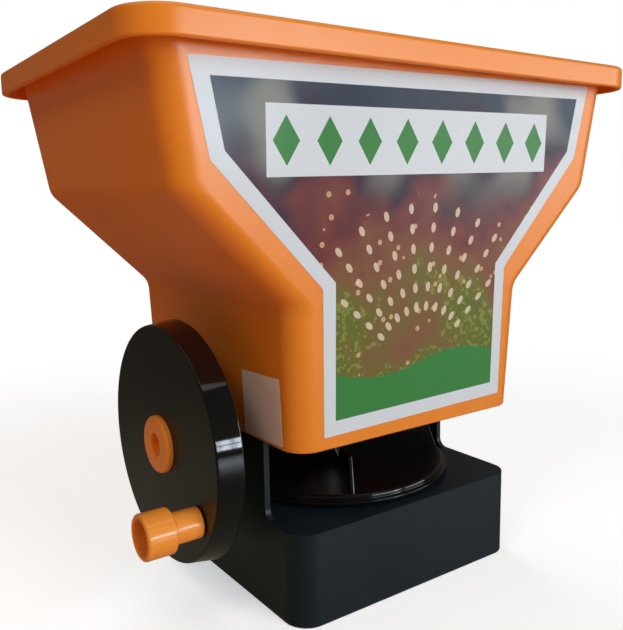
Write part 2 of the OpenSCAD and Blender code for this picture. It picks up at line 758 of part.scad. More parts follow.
// Pinion: one tooth is three widths, at the root, the pitch line and the tip
root_r = pitch_p - dedendum;
tip_r = pitch_p + addendum;
tooth_root = 1.85 * gear_module;
tooth_pitch = 1.36 * gear_module;
tooth_tip = 0.7 * gear_module;
function tooth_point(r, w, side, a) = r * [cos(a + side * asin(w / 2 / r)), sin(a + side * asin(w / 2 / r))];
module pinion_section() {
  polygon([
    for (i = [0:pinion_teeth - 1])
      let (a = 360 * (i + 0.5) / pinion_teeth + 180)
      each [
        tooth_point(root_r, tooth_root, -1, a), tooth_point(pitch_p, tooth_pitch, -1, a),
        tooth_point(tip_r, tooth_tip, -1, a), tooth_point(tip_r, tooth_tip, 1, a),
        tooth_point(pitch_p, tooth_pitch, 1, a), tooth_point(root_r, tooth_root, 1, a)
      ]
  ]);
}
module pinion_gear() color(nylon) on_spinner() difference() {
  union() {
    translate([0, 0, mesh_z - pinion_face / 2]) linear_extrude(height = pinion_face) pinion_section();
    translate([0, 0, mesh_z]) cylinder(r = pinion_hub_r, h = pinion_hub_top - mesh_z);
  }
  translate([0, 0, mesh_z - pinion_face])
    cylinder(r = shaft_r + fit_gap, h = pinion_hub_top - mesh_z + 2 * pinion_face);
  pinion_pin_shape(pin_r + fit_gap, eps);
}
module agitator() color(steel) on_spinner() translate([0, 0, floor_top + agitator_gap]) {
  tube(agitator_hub_r, shaft_r + fit_gap, 0, agitator_h);
  for (a = [0, 180]) rotate([0, 0, a + vane_angle]) {
    translate([0, 0, agitator_h / 2]) rod_x(agitator_wire_r, agitator_hub_r - join, agitator_reach);
    translate([agitator_reach, 0, agitator_h / 2]) {
      sphere(r = agitator_wire_r);
      cylinder(r = agitator_wire_r, h = agitator_finger);
    }
  }
}

// Crank wheel: a flat face with a deep skirt, a long hub and six ribs behind the face
module wheel_profile() {
  r0 = axle_r + fit_gap;
  rear_r = wheel_r + wheel_flare;
  polygon(concat(
    [[r0, 0]],
    [for (a = [90:-15:0]) [wheel_r - wheel_edge * (1 - cos(a)), wheel_edge * (1 - sin(a))]],
    [
      [rear_r, wheel_depth], [rear_r - wheel_wall, wheel_depth], [wheel_r - wheel_wall, wheel_wall],
      [hub_r, wheel_wall], [hub_r, hub_l], [r0, hub_l]
    ]
  ));
}
wheel_ribs = 6;
wheel_pin_x = wheel_rear_x + wheel_gap / 2;
module wheel_pin_shape(r, extra) {
  translate([wheel_pin_x, 0, -hub_r - extra]) cylinder(r = r, h = 2 * (hub_r + extra));
}
module crank_wheel() color(gloss_black) on_axle() difference() {
  union() {
    translate([wheel_face_x, 0, 0]) rotate([0, 90, 0]) rotate_extrude($fn = 128) wheel_profile();
    for (i = [0:wheel_ribs - 1])
      rotate([360 * i / wheel_ribs, 0, 0])
        translate([wheel_face_x + wheel_wall / 2, hub_r - join, -rib_t / 2])
          cube([wheel_depth - wheel_wall, wheel_r - wheel_wall - hub_r + join + sink, rib_t]);
    translate([0, knob_y, knob_z])
      rod_x(knob_boss_r, wheel_face_x + wheel_wall / 2, wheel_face_x + knob_boss_l);
  }
  translate([0, knob_y, knob_z])
    rod_x(knob_pin_r + fit_gap, wheel_face_x - eps, wheel_face_x + knob_boss_l + eps);
  rod_x(axle_r + fit_gap, wheel_face_x - eps, wheel_face_x + hub_l + eps);
  rod_x(plug_r + fit_gap, wheel_face_x - eps, axle_front_x);
  wheel_pin_shape(pin_r + fit_gap, eps);
}
module crank_axle() color(steel) on_axle() difference() {
  rod_x(axle_r, axle_front_x, axle_end_x);
  wheel_pin_shape(pin_r + fit_gap, eps);
  crown_pin_shape(pin_r + fit_gap, eps);
}
// Hub cap: a round cap whose hollow plug fits in the wheel's hub
module hub_cap() color(orange) on_axle() translate([wheel_face_x, 0, 0]) rotate([0, -90, 0])
  rotate_extrude() polygon(concat(
    [[0, -plug_l], [plug_r, -plug_l], [plug_r, 0], [cap_r, 0]],
    [for (a = [0:15:90]) [cap_r - cap_round * (1 - cos(a)), cap_t - cap_round * (1 - sin(a))]],
    [[cap_hole_r, cap_t], [cap_hole_r, plug_floor - plug_l], [0, plug_floor - plug_l]]
  ));
module wheel_pin() color(steel) on_axle() wheel_pin_shape(pin_r, -pin_short);

// Crown gear: straight teeth on the face of a disc
crown_pin_x = crown_face_x - crown_disc_t - crown_hub_l / 2;
module crown_pin_shape(r, extra) {
  translate([crown_pin_x, 0, -crown_hub_r - extra]) cylinder(r = r, h = 2 * (crown_hub_r + extra));
}
module crown_tooth() {
  base = 0.78 * gear_module;
  tip = 0.26 * gear_module;
  translate([0, 0, crown_in]) linear_extrude(height = crown_out - crown_in)
    polygon([
      [crown_face_x - sink, -base], [crown_face_x, -base], [crown_tip_x, -tip],
      [crown_tip_x, tip], [crown_face_x, base], [crown_face_x - sink, base]
    ]);
}
module crown_gear() color(nylon) on_axle() difference() {
  union() {
    rod_x(crown_out + crown_margin, crown_face_x - crown_disc_t, crown_face_x);
    rod_x(crown_hub_r, crown_face_x - crown_disc_t - crown_hub_l, crown_face_x - crown_disc_t / 2);
    for (i = [0:crown_teeth - 1]) rotate([360 * i / crown_teeth, 0, 0]) crown_tooth();
  }
  rod_x(axle_r + fit_gap, crown_face_x - crown_disc_t - crown_hub_l - eps, crown_tip_x + eps);
  crown_pin_shape(pin_r + fit_gap, eps);
}
module crown_pin() color(steel) on_axle() crown_pin_shape(pin_r, -pin_short);

// Knob: a stepped hollow knob that turns on a headed pin
knob_x0 = wheel_face_x - knob_gap;
knob_step_x = knob_x0 - neck_l;
pin_head_x = knob_step_x - knob_floor - pin_head_gap;
module knob_pin() color(steel) on_knob() {
  rod_x(knob_pin_r, pin_head_x, wheel_face_x + knob_boss_l);
  rod_x(knob_pin_head_r, pin_head_x - knob_pin_head_h, pin_head_x);
}
module crank_knob() color(orange) on_knob() translate([knob_x0, 0, 0]) rotate([0, -90, 0])
  rotate_extrude() polygon(concat(
    [
      [knob_pin_r + run_gap, 0], [neck_r, 0], [neck_r, neck_l],
      [knob_r - knob_chamfer, neck_l], [knob_r, neck_l + knob_chamfer]
    ],
    [
      for (a = [0:15:90])
        [knob_r - knob_round * (1 - cos(a)), neck_l + knob_end_l - knob_round * (1 - sin(a))]
    ],
    [
      [knob_r - knob_wall, neck_l + knob_end_l], [knob_r - knob_wall, neck_l + knob_floor],
      [knob_pin_r + run_gap, neck_l + knob_floor]
    ]
  ));

base_housing();
base_cover();
base_cover_screws();
shaft_lower_bush();
axle_outer_bush();
hopper();
hopper_screws();
shaft_upper_bush();
rear_handle();
handle_screws();
gear_bracket();
bracket_screws();
axle_inner_bush();
outlet_spout();
spout_screws();
flow_gate();
gate_tab();
gate_rivets();
spinner_disc();
spinner_shaft();
spinner_pin();
pinion_gear();
pinion_pin();
agitator();
shaft_clip();
crank_wheel();
crank_axle();
hub_cap();
wheel_pin();
crown_gear();
crown_pin();
knob_pin();
crank_knob();
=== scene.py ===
# %% [markdown]
# # Hand spreader
# A hand spreader throws seed: a hopper feeds a vaned spinner, which a wheel with a knob at its side cranks.
# The solids come from the imported model, which is the frame of the scene. It is in metres, with the label
# towards -Y and the crank wheel towards -X. Pieces whose shape is already right keep their solid and get a
# material. Pieces that want rounder edges or finer curves are built again in the same place.

# %% Load the frame
import json
import math
from functools import partialmethod

import bmesh
import bpy
from mathutils import Matrix, Vector


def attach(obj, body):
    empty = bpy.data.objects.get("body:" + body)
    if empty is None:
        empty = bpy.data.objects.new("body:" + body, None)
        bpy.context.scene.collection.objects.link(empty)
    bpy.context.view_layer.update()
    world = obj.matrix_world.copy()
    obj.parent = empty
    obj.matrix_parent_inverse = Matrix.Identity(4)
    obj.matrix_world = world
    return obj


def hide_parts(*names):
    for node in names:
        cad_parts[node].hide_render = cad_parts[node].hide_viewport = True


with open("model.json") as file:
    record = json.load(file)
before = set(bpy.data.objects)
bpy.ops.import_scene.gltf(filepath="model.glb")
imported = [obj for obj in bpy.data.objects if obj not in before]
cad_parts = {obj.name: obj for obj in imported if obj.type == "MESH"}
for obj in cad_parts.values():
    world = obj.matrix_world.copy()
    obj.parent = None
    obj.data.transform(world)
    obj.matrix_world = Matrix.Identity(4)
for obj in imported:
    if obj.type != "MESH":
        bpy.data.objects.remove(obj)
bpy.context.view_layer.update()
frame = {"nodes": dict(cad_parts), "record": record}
MM = 0.001
record = frame["record"]
BODY_OF = {node: body for body, nodes in record["behaviour"]["bodies"].items() for node in nodes}
SLOT_OF = {part["node"]: part["material_slot"] for part in record["subparts"]}

# %% [markdown]
# ## Camera
# The view was found by fitting a camera to the straight edges of the object: where it stands, how it turns,
# nods and tilts, and how long its lens is. A new camera looks straight down, so a nod of zero is a quarter
# turn for it.

# %% Place the camera
IMAGE_LONG_SIDE = 630
FOCAL_PIXELS = 745.11
SENSOR_WIDTH = 36
NEAREST = 0.01
CAMERA_PLACE = Vector((-209.41, -290.73, 168.70)) * MM
YAW = math.radians(35.0026)
PITCH = math.radians(8.9754)
ROLL = math.radians(-0.9924)
QUARTER_TURN = math.pi / 2

camera_data = bpy.data.cameras.new("camera")
camera_data.sensor_width = SENSOR_WIDTH
camera_data.lens = FOCAL_PIXELS / IMAGE_LONG_SIDE * SENSOR_WIDTH
camera_data.clip_start = NEAREST
camera = bpy.data.objects.new("camera", camera_data)
bpy.context.collection.objects.link(camera)
camera.matrix_world = (
    Matrix.Translation(CAMERA_PLACE)
    @ Matrix.Rotation(-YAW, 4, "Z")
    @ Matrix.Rotation(QUARTER_TURN - PITCH, 4, "X")
    @ Matrix.Rotation(ROLL, 4, "Z")
)
bpy.context.scene.camera = camera
print("lens", round(camera_data.lens, 2), "mm")

# %% [markdown]
# ## Small helpers for node trees
# Shader trees and Geometry Nodes trees are wired in the same way, so the same helpers serve both. Much of
# the wiring is arithmetic, and a formula is easier to read than a chain of Math nodes. So a number in a tree
# gets a class of its own: where it is added, divided or compared, it adds the Math node and gives back the
# result.

# %% Helpers: nodes and sockets
class Number:
    """A number in a node tree. A formula that uses it adds the Math nodes of that formula."""

    def __init__(self, tree, socket):
        self.tree = tree
        self.socket = socket

    def wire(self, operation, *others):
        """The result of a Math node that takes this number first and then the others."""
        inputs = dict(enumerate((self, *others)))
        node = add_node(self.tree, "ShaderNodeMath", inputs, operation=operation)
        return Number(self.tree, node.outputs[0])

    def __floordiv__(self, other):
        return (self / other).wire("FLOOR")

    __add__ = partialmethod(wire, "ADD")
    __sub__ = partialmethod(wire, "SUBTRACT")
    __mul__ = partialmethod(wire, "MULTIPLY")
    __truediv__ = partialmethod(wire, "DIVIDE")
    __mod__ = partialmethod(wire, "FLOORED_MODULO")
    __pow__ = partialmethod(wire, "POWER")
    __abs__ = partialmethod(wire, "ABSOLUTE")
    __lt__ = partialmethod(wire, "LESS_THAN")
    __gt__ = partialmethod(wire, "GREATER_THAN")


def feed(tree, socket, value):
    """Links a number or an output to the socket, and sets anything else as the socket's own value."""
    if isinstance(value, Number):
        value = value.socket
    if isinstance(value, bpy.types.NodeSocket):
        tree.links.new(value, socket)
    else:
        socket.default_value = value


def shown(sockets, name):
    """The socket of that name that the node shows in its present mode."""
    return next(socket for socket in sockets if socket.name == name and socket.enabled)


def add_node(tree, kind, inputs=None, **settings):
    """A node of that kind, with its settings and then its inputs filled in by name or number."""
    node = tree.nodes.new(kind)
    for name, value in settings.items():
        setattr(node, name, value)
    for name, value in (inputs or {}).items():
        socket = node.inputs[name] if isinstance(name, int) else shown(node.inputs, name)
        feed(tree, socket, value)
    return node


def new_tree(name, kind, inputs, outputs):
    """A node group with its sockets, given by name and kind, its input node and its output node."""
    tree = bpy.data.node_groups.new(name, kind)
    for direction, sockets in (("INPUT", inputs), ("OUTPUT", outputs)):
        for title, socket_kind in sockets.items():
            tree.interface.new_socket(title, in_out=direction, socket_type="NodeSocket" + socket_kind)
    return tree, tree.nodes.new("NodeGroupInput"), tree.nodes.new("NodeGroupOutput")


print("nodes can be added, fed and reckoned with")

# %% Helpers: shader patterns
NOISE_MIDDLE = 0.5


def noise(tree, place, scale, detail):
    """A noise between 0 and 1."""
    node = add_node(tree, "ShaderNodeTexNoise", {"Vector": place, "Scale": scale, "Detail": detail})
    return Number(tree, node.outputs["Fac"])


def eased(tree, value, low, high):
    """A number that rises smoothly from 0 to 1 while the value goes from low to high."""
    node = add_node(tree, "ShaderNodeMapRange", {
        "Value": value, "From Min": low, "From Max": high,
    }, interpolation_type="SMOOTHSTEP")
    return Number(tree, node.outputs["Result"])


def mixed(tree, mask, under, over):
    """The colour over where the mask is 1, and the colour under where it is 0."""
    node = add_node(tree, "ShaderNodeMix", {"Factor": mask, "A": under, "B": over}, data_type="RGBA")
    return shown(node.outputs, "Result")


def roughen(tree, shader, height, strength, depth):
    """Lets a height of that depth in mm disturb the shader's normal."""
    bump = add_node(tree, "ShaderNodeBump", {"Strength": strength, "Distance": depth * MM, "Height": height})
    feed(tree, shader.inputs["Normal"], bump.outputs["Normal"])


def new_material(name):
    """A material, its tree, its shader and the Object coordinates that its patterns read."""
    material = bpy.data.materials.new(name)
    material.use_nodes = True
    tree = material.node_tree
    place = tree.nodes.new("ShaderNodeTexCoord").outputs["Object"]
    return material, tree, tree.nodes["Principled BSDF"], place


print("materials can be made and patterned")

# %% [markdown]
# ## An effect that several finishes share
# Moulded plastic is never one flat colour. The melt leaves faint clouds of tone, the mould's surface leaves
# a fine grain, and the gloss changes with how the skin cooled. Steel has stains and an uneven gloss too, in
# other amounts. One shader group makes them from noise, and each finish gives it its own scales and depths.

# %% Group: moulded skin
skin, skin_in, skin_out = new_tree("moulded_skin", "ShaderNodeTree", {
    "Vector": "Vector", "Colour": "Color", "Tone Shift": "Float", "Cloud Scale": "Float",
    "Grain Scale": "Float", "Roughness": "Float", "Roughness Shift": "Float",
}, {"Colour": "Color", "Roughness": "Float", "Height": "Float"})
skin_place = skin_in.outputs["Vector"]
clouds = noise(skin, skin_place, skin_in.outputs["Cloud Scale"], detail=3.0) - NOISE_MIDDLE
grain = noise(skin, skin_place, skin_in.outputs["Grain Scale"], detail=2.0)
toned = add_node(skin, "ShaderNodeHueSaturation", {
    "Color": skin_in.outputs["Colour"], "Value": clouds * skin_in.outputs["Tone Shift"] + 1.0,
})
uneven_gloss = clouds * skin_in.outputs["Roughness Shift"] + skin_in.outputs["Roughness"]
feed(skin, skin_out.inputs["Colour"], toned.outputs["Color"])
feed(skin, skin_out.inputs["Roughness"], uneven_gloss)
feed(skin, skin_out.inputs["Height"], grain)
print("group", skin.name, "has", len(skin.nodes), "nodes")

# %% [markdown]
# ## Finishes
# Each finish is a Principled shader fed by that group. The hopper is orange plastic that lets a little light
# in, and the cap and the knob are a shinier orange. The stand is satin black with a fine grain, the wheel
# and the spinner are black, shiny in some places and satin in others, and the hidden works are steel and
# natural nylon. What is the same all over stays on the shader's own sockets.

# %% Plastic finishes
GLOSS_SHARE = 0.5
BLACK = (0.004, 0.004, 0.0042)


def skinned(name, colour, amounts):
    """A material whose colour and roughness come from the group, with its parts and the group's node."""
    material, tree, shader, place = new_material(name)
    inputs = {"Vector": place, "Colour": (*colour, 1), **amounts}
    surface = add_node(tree, "ShaderNodeGroup", inputs, node_tree=skin)
    feed(tree, shader.inputs["Base Color"], surface.outputs["Colour"])
    feed(tree, shader.inputs["Roughness"], surface.outputs["Roughness"])
    return material, tree, shader, place, surface


def plastic(name, colour, roughness, grain_scale, grain_depth, tone_shift=0.1, cloud_scale=18.0,
            light_share=0.0, shine=0.5):
    """A moulded plastic; grain_depth is in mm, and light_share of the light goes in and comes out again."""
    material, tree, shader, place, surface = skinned(name, colour, {
        "Tone Shift": tone_shift, "Cloud Scale": cloud_scale, "Grain Scale": grain_scale,
        "Roughness": roughness, "Roughness Shift": GLOSS_SHARE * roughness,
    })
    roughen(tree, shader, surface.outputs["Height"], strength=0.5, depth=grain_depth)
    shader.inputs["Specular IOR Level"].default_value = shine
    shader.inputs["Subsurface Weight"].default_value = light_share
    shader.inputs["Subsurface Radius"].default_value = (1.0, 0.35, 0.1)
    shader.inputs["Subsurface Scale"].default_value = 2.5 * MM
    return material


hopper_orange = plastic("hopper_orange", (0.84, 0.275, 0.024), roughness=0.34, grain_scale=700,
                        grain_depth=0.08, cloud_scale=90.0, light_share=0.12, shine=0.55)
trim_orange = plastic("trim_orange", (0.96, 0.36, 0.05), roughness=0.16, grain_scale=500,
                      grain_depth=0.02, tone_shift=0.08, light_share=0.12)
stand_black = plastic("stand_black", (0.007, 0.0155, 0.022), roughness=0.4, grain_scale=1600,
                      grain_depth=0.04, tone_shift=0.5, shine=0.3)
gloss_black = plastic("gloss_black", BLACK, roughness=0.06, grain_scale=600, grain_depth=0.01,
                      tone_shift=0.4)
satin_black = plastic("satin_black", BLACK, roughness=0.34, grain_scale=1200, grain_depth=0.02,
                      tone_shift=0.4)
bush_nylon = plastic("bush_nylon", (0.68, 0.66, 0.6), roughness=0.42, grain_scale=1200,
                     grain_depth=0.03, light_share=0.2)
print(len(bpy.data.materials), "materials so far")

# %% Steel finish
steel, steel_tree, steel_shader, steel_place, steel_surface = skinned("steel", (0.56, 0.57, 0.59), {
    "Tone Shift": 0.25, "Cloud Scale": 60.0, "Roughness": 0.35, "Roughness Shift": 0.2,
})
steel_shader.inputs["Metallic"].default_value = 1.0
stretched = add_node(steel_tree, "ShaderNodeMapping", {"Vector": steel_place, "Scale": (60.0, 60.0, 2600.0)})
brushed_lines = noise(steel_tree, stretched.outputs[0], scale=1.0, detail=3.0)
roughen(steel_tree, steel_shader, brushed_lines, strength=0.3, depth=0.02)
FINISH = {
    "hopper_orange": hopper_orange,
    "stand_black": stand_black,
    "gloss_black": gloss_black,
    "steel": steel,
    "bush_nylon": bush_nylon,
}
print("finishes by slot:", ", ".join(FINISH))

# %% [markdown]
# ## The solids that stay
# Shafts, pins, bushes, gears, the bracket and the spout are plain turned or moulded works, and their solids
# are right as they are. Each gets the finish of its material slot. Pieces made further on hide their solid.

# %% Finish the solids
for node_name, solid in frame["nodes"].items():
    for material_slot in solid.material_slots:
        material_slot.material = FINISH[SLOT_OF[node_name]]
print("finished", len(frame["nodes"]), "solids")

# %% [markdown]
# ## One rule for round and boxy shells
# The hopper is a stack of rounded rectangles that grow with height, and a wheel, cap or knob is a stack of
# circles, which are rounded rectangles whose corners have grown together. So one Geometry Nodes tree makes
# them all. It takes a profile, a row of points that hold half width, half depth and height with a corner
# radius, and lays a grid over it: one direction of the grid follows the profile, the other goes round.

# %% Tree: ring loft
loft_tree, loft_in, loft_out = new_tree("ring_loft", "GeometryNodeTree", {
    "Profile": "Geometry", "Corner Steps": "Int",
    "Turn": "Rotation", "Place": "Vector", "Material": "Material",
}, {"Geometry": "Geometry"})
profile = loft_in.outputs["Profile"]
steps = Number(loft_tree, loft_in.outputs["Corner Steps"])
corner_points = steps + 1
round_points = corner_points * 4
profile_size = add_node(loft_tree, "GeometryNodeAttributeDomainSize", {"Geometry": profile})
profile_points = Number(loft_tree, profile_size.outputs["Point Count"])
grid = add_node(loft_tree, "GeometryNodeMeshGrid", {
    "Vertices X": round_points + 1, "Vertices Y": profile_points,
})
index = Number(loft_tree, loft_tree.nodes.new("GeometryNodeInputIndex").outputs[0])
along = index % profile_points
around = index // profile_points % round_points
quarter = around // corner_points
step = around - quarter * corner_points
print("ring loft: grid and its two counts are wired")

# %% Tree: ring loft, where each point goes
def sample_profile(data_type, value):
    """What the profile holds at the point of the profile that this grid point follows."""
    node = add_node(loft_tree, "GeometryNodeSampleIndex", {
        "Geometry": profile, "Value": value, "Index": along,
    }, data_type=data_type)
    return shown(node.outputs, "Value")


profile_place = loft_tree.nodes.new("GeometryNodeInputPosition").outputs[0]
sizes = add_node(loft_tree, "ShaderNodeSeparateXYZ", {0: sample_profile("FLOAT_VECTOR", profile_place)})
named_corner = add_node(loft_tree, "GeometryNodeInputNamedAttribute", {"Name": "corner"}, data_type="FLOAT")
corner = Number(loft_tree, sample_profile("FLOAT", shown(named_corner.outputs, "Attribute")))
angle = (quarter + step / steps) * QUARTER_TURN
diagonal = quarter * QUARTER_TURN + QUARTER_TURN / 2


def ring_coordinate(axis, wave):
    """Centre of the corner along one axis plus the corner's own arc."""
    half_size = Number(loft_tree, sizes.outputs[axis])
    side = diagonal.wire(wave).wire("SIGN")
    return corner * angle.wire(wave) + side * (half_size - corner)


ring_point = add_node(loft_tree, "ShaderNodeCombineXYZ", {
    "X": ring_coordinate("X", "COSINE"), "Y": ring_coordinate("Y", "SINE"), "Z": sizes.outputs["Z"],
})
print("ring loft: positions are wired")

# %% Tree: ring loft, its ending
MERGE_DISTANCE = 0.002 * MM


def end_tree(tree, tree_in, tree_out, geometry):
    """Realizes what a tree has made, sets its material and gives it out."""
    realized = add_node(tree, "GeometryNodeRealizeInstances", {0: geometry})
    coloured = add_node(tree, "GeometryNodeSetMaterial", {
        "Geometry": realized.outputs[0], "Material": tree_in.outputs["Material"],
    })
    feed(tree, tree_out.inputs["Geometry"], coloured.outputs[0])
    print(tree.name, "has", len(tree.nodes), "nodes")


def place_geometry(tree, tree_in, geometry):
    """Turns and moves the geometry by the tree's inputs."""
    node = add_node(tree, "GeometryNodeTransform", {
        "Geometry": geometry, "Rotation": tree_in.outputs["Turn"], "Translation": tree_in.outputs["Place"],
    })
    return node.outputs[0]


shaped = add_node(loft_tree, "GeometryNodeSetPosition", {
    "Geometry": grid.outputs["Mesh"], "Position": ring_point.outputs[0],
})
merged = add_node(loft_tree, "GeometryNodeMergeByDistance", {
    "Geometry": shaped.outputs[0], "Distance": MERGE_DISTANCE,
})
end_tree(loft_tree, loft_in, loft_out, place_geometry(loft_tree, loft_in, merged.outputs[0]))

# %% [markdown]
# ## From a tree to a plain mesh
# A modifier's result has to become a plain mesh before the piece joins the frame. The next helpers set a
# tree's inputs by their identifiers, evaluate the object once, keep the result and drop the modifiers. Loose
# seams are merged already, so the faces can be turned outwards, and edges steeper than a limit stay crisp.

# %% Helpers: plain meshes
CRISP_ANGLE = math.radians(35)
FLAT_FACE_WEIGHT = 100


def new_object(name, mesh):
    """An object for the mesh, linked to the scene."""
    piece = bpy.data.objects.new(name, mesh)
    bpy.context.collection.objects.link(piece)
    return piece


def work_object(name, work, material=None):
    """An object with the faces of a finished bmesh."""
    mesh = bpy.data.meshes.new(name)
    work.to_mesh(mesh)
    work.free()
    if material:
        mesh.materials.append(material)
    return new_object(name, mesh)


def bake(piece):
    """Turns the piece with its modifiers into a plain mesh."""
    evaluated = piece.evaluated_get(bpy.context.evaluated_depsgraph_get())
    mesh = bpy.data.meshes.new_from_object(evaluated)
    piece.modifiers.clear()
    piece.data = mesh
    mesh.name = piece.name
    return piece


def outward(piece):
    """Points every face outwards."""
    work = bmesh.new()
    work.from_mesh(piece.data)
    bmesh.ops.recalc_face_normals(work, faces=work.faces)
    work.to_mesh(piece.data)
    work.free()
    return piece


def smooth(piece):
    """Shades the piece smooth, keeps steep edges crisp and lets broad faces stay flat."""
    piece.data.shade_smooth()
    piece.data.set_sharp_from_angle(angle=CRISP_ANGLE)
    weighted = piece.modifiers.new("weighted normals", "WEIGHTED_NORMAL")
    weighted.keep_sharp = True
    weighted.weight = FLAT_FACE_WEIGHT
    return bake(piece)


def grow(piece, tree, inputs):
    """Runs a Geometry Nodes tree on the piece and keeps the result as a plain mesh."""
    modifier = piece.modifiers.new(tree.name, "NODES")
    modifier.node_group = tree
    identifiers = {socket.name: socket.identifier for socket in tree.interface.items_tree}
    for name, value in inputs.items():
        modifier[identifiers[name]] = value
    return bake(piece)


def stand_in(piece, *nodes):
    """The piece takes the place of these nodes and moves with their body."""
    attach(piece, BODY_OF[nodes[0]])
    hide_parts(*nodes)
    print(piece.name, "stands for", ", ".join(nodes), "with", len(piece.data.polygons), "faces")


# %% Helpers: rounded profiles
ROUNDING_STEPS = 6


def rounded_path(corners):
    """Rows of (across, up, rounding, extras) become points with each corner rounded; extras follow along."""
    path = []
    for i, (x, y, rounding, *extra) in enumerate(corners):
        if not rounding:
            path.append((x, y, *extra))
            continue
        before = corners[i - 1]
        after = corners[(i + 1) % len(corners)]
        to_before = Vector((before[0] - x, before[1] - y))
        to_after = Vector((after[0] - x, after[1] - y))
        u = to_before.normalized()
        v = to_after.normalized()
        half = u.angle(v) / 2
        centre = (u + v).normalized() * (rounding / math.sin(half))
        start = u * (rounding / math.tan(half)) - centre
        end = v * (rounding / math.tan(half)) - centre
        spread = u.x * v.y - u.y * v.x
        for k in range(ROUNDING_STEPS + 1):
            point = centre + start.slerp(end, k / ROUNDING_STEPS).normalized() * rounding
            share_before = (point.x * v.y - point.y * v.x) / spread / to_before.length
            share_after = (u.x * point.y - u.y * point.x) / spread / to_after.length
            path.append((x + point.x, y + point.y, *(
                e + share_before * (b - e) + share_after * (a - e)
                for e, b, a in zip(extra, before[3:], after[3:])
            )))
    return path


def loft(name, rings, material, turn=(0, 0, 0), place=(0, 0, 0), steps=24):
    """A shell through rings of (half width, half depth, height, corner radius), all in mm."""
    mesh = bpy.data.meshes.new(name)
    mesh.from_pydata([Vector(ring[:3]) * MM for ring in rings], [], [])
    corner_radius = mesh.attributes.new("corner", "FLOAT", "POINT")
    for value, ring in zip(corner_radius.data, rings):
        value.value = ring[3] * MM
    return outward(grow(new_object(name, mesh), loft_tree, {
        "Corner Steps": steps, "Turn": turn, "Place": Vector(place) * MM, "Material": material,
    }))


def turned(name, corners, material, *where, **settings):
    """A turned piece from rows of (radius, height, rounding) in mm, bored if they start off the axis."""
    rings = [(r, r, h, r) for r, h in rounded_path(corners)]
    if corners[0][0] > 0:
        rings.append(rings[0])
    return loft(name, rings, material, *where, **settings)


print("profiles can be lofted and turned, with", ROUNDING_STEPS, "steps at each rounded corner")

# %% [markdown]
# ## Hopper
# The hopper is one thin moulding: a lower box, a slope, an upper box and a rim that turns down. It is the
# main piece of the object, and its shape follows the loft's rule. The profile starts under the floor, goes
# down the skirt, up the outside, round the rim and down the inside to the floor's top.

# %% Hopper sizes in millimetres
WALL = 2.2
BOTTOM_Z = 72.0
KNEE_Z = 128.5
WIDE_Z = 172.0
RIM_Z = 216.0
TOP_Z = 225.7
FLOOR_Z = 90.0
FLOOR_TOP = 92.5
HALF_W = 61.0
HALF_D = 67.5
LOWER_FLARE = 1.5
UPPER_FLARE = 7.0
FACE_FLARE = 6.75
CORNER = 10.5
KNEE_ROUND = 9.0
WIDE_HALF_W = 107.25
RIM_T = 2.2
RIM_CORNER = 17.0
RIM_HALF_W = 124.0
RIM_HALF_D = 83.25
PLATE_Z = TOP_Z - RIM_T


def half_depth(z):
    """Half depth of the hopper's outside at height z."""
    return HALF_D + FACE_FLARE * (z - BOTTOM_Z) / (RIM_Z - BOTTOM_Z)


def low_half_width(z):
    """Half width of the lower box's outside at height z."""
    return HALF_W + LOWER_FLARE * (z - BOTTOM_Z) / (KNEE_Z - BOTTOM_Z)


def high_half_width(z):
    """Half width of the upper box's outside at height z."""
    return WIDE_HALF_W + UPPER_FLARE * (z - WIDE_Z) / (RIM_Z - WIDE_Z)


def inset(before, corner, after):
    """The corner of the wall's outline, moved inwards by the wall's thickness."""
    u = (Vector(corner) - Vector(before)).normalized()
    v = (Vector(after) - Vector(corner)).normalized()
    n1 = Vector((-u.y, u.x))
    n2 = Vector((-v.y, v.x))
    return Vector(corner) + WALL * (n1 + n2) / (1 + n1.dot(n2))


foot = (HALF_W, BOTTOM_Z)
knee = (low_half_width(KNEE_Z), KNEE_Z)
wide = (WIDE_HALF_W, WIDE_Z)
mouth = (high_half_width(TOP_Z), TOP_Z)
inner_knee = inset(foot, knee, wide)
inner_wide = inset(knee, wide, mouth)
print("inside, the slope goes from", round(inner_knee.y, 2), "to", round(inner_wide.y, 2), "mm of height")

# %% Hopper shell
CORNER_STEPS = 14


def wall_row(x, z, rounding, t=0.0):
    """A row of the profile on the outside wall, or on the inside when t is the wall's thickness."""
    return (x, z, rounding, half_depth(z) - t, CORNER - t)


def rim_row(z, rounding, t=0.0):
    """A row of the profile on the rim."""
    return (RIM_HALF_W - t, z, rounding, RIM_HALF_D - t, RIM_CORNER - t)


hopper_rows = [
    (0, FLOOR_Z, 0, 0, 0),
    wall_row(low_half_width(FLOOR_Z) - WALL, FLOOR_Z, rounding=1.2, t=WALL),
    wall_row(HALF_W - WALL, BOTTOM_Z, rounding=0.5, t=WALL),
    wall_row(*foot, rounding=0.7),
    wall_row(*knee, KNEE_ROUND),
    wall_row(*wide, KNEE_ROUND),
    wall_row(high_half_width(PLATE_Z), PLATE_Z, rounding=1.5),
    rim_row(PLATE_Z, rounding=1.2, t=RIM_T),
    rim_row(RIM_Z, rounding=0.6, t=RIM_T),
    rim_row(RIM_Z, rounding=1.0),
    rim_row(TOP_Z, rounding=1.8),
    wall_row(mouth[0] - WALL, TOP_Z, rounding=1.5, t=WALL),
    wall_row(*inner_wide, KNEE_ROUND - WALL, WALL),
    wall_row(*inner_knee, KNEE_ROUND + WALL, WALL),
    wall_row(low_half_width(FLOOR_TOP) - WALL, FLOOR_TOP, rounding=2.0, t=WALL),
    (0, FLOOR_TOP, 0, 0, 0),
]
hopper_rings = [(x, d, z, c) for x, z, d, c in rounded_path(hopper_rows)]
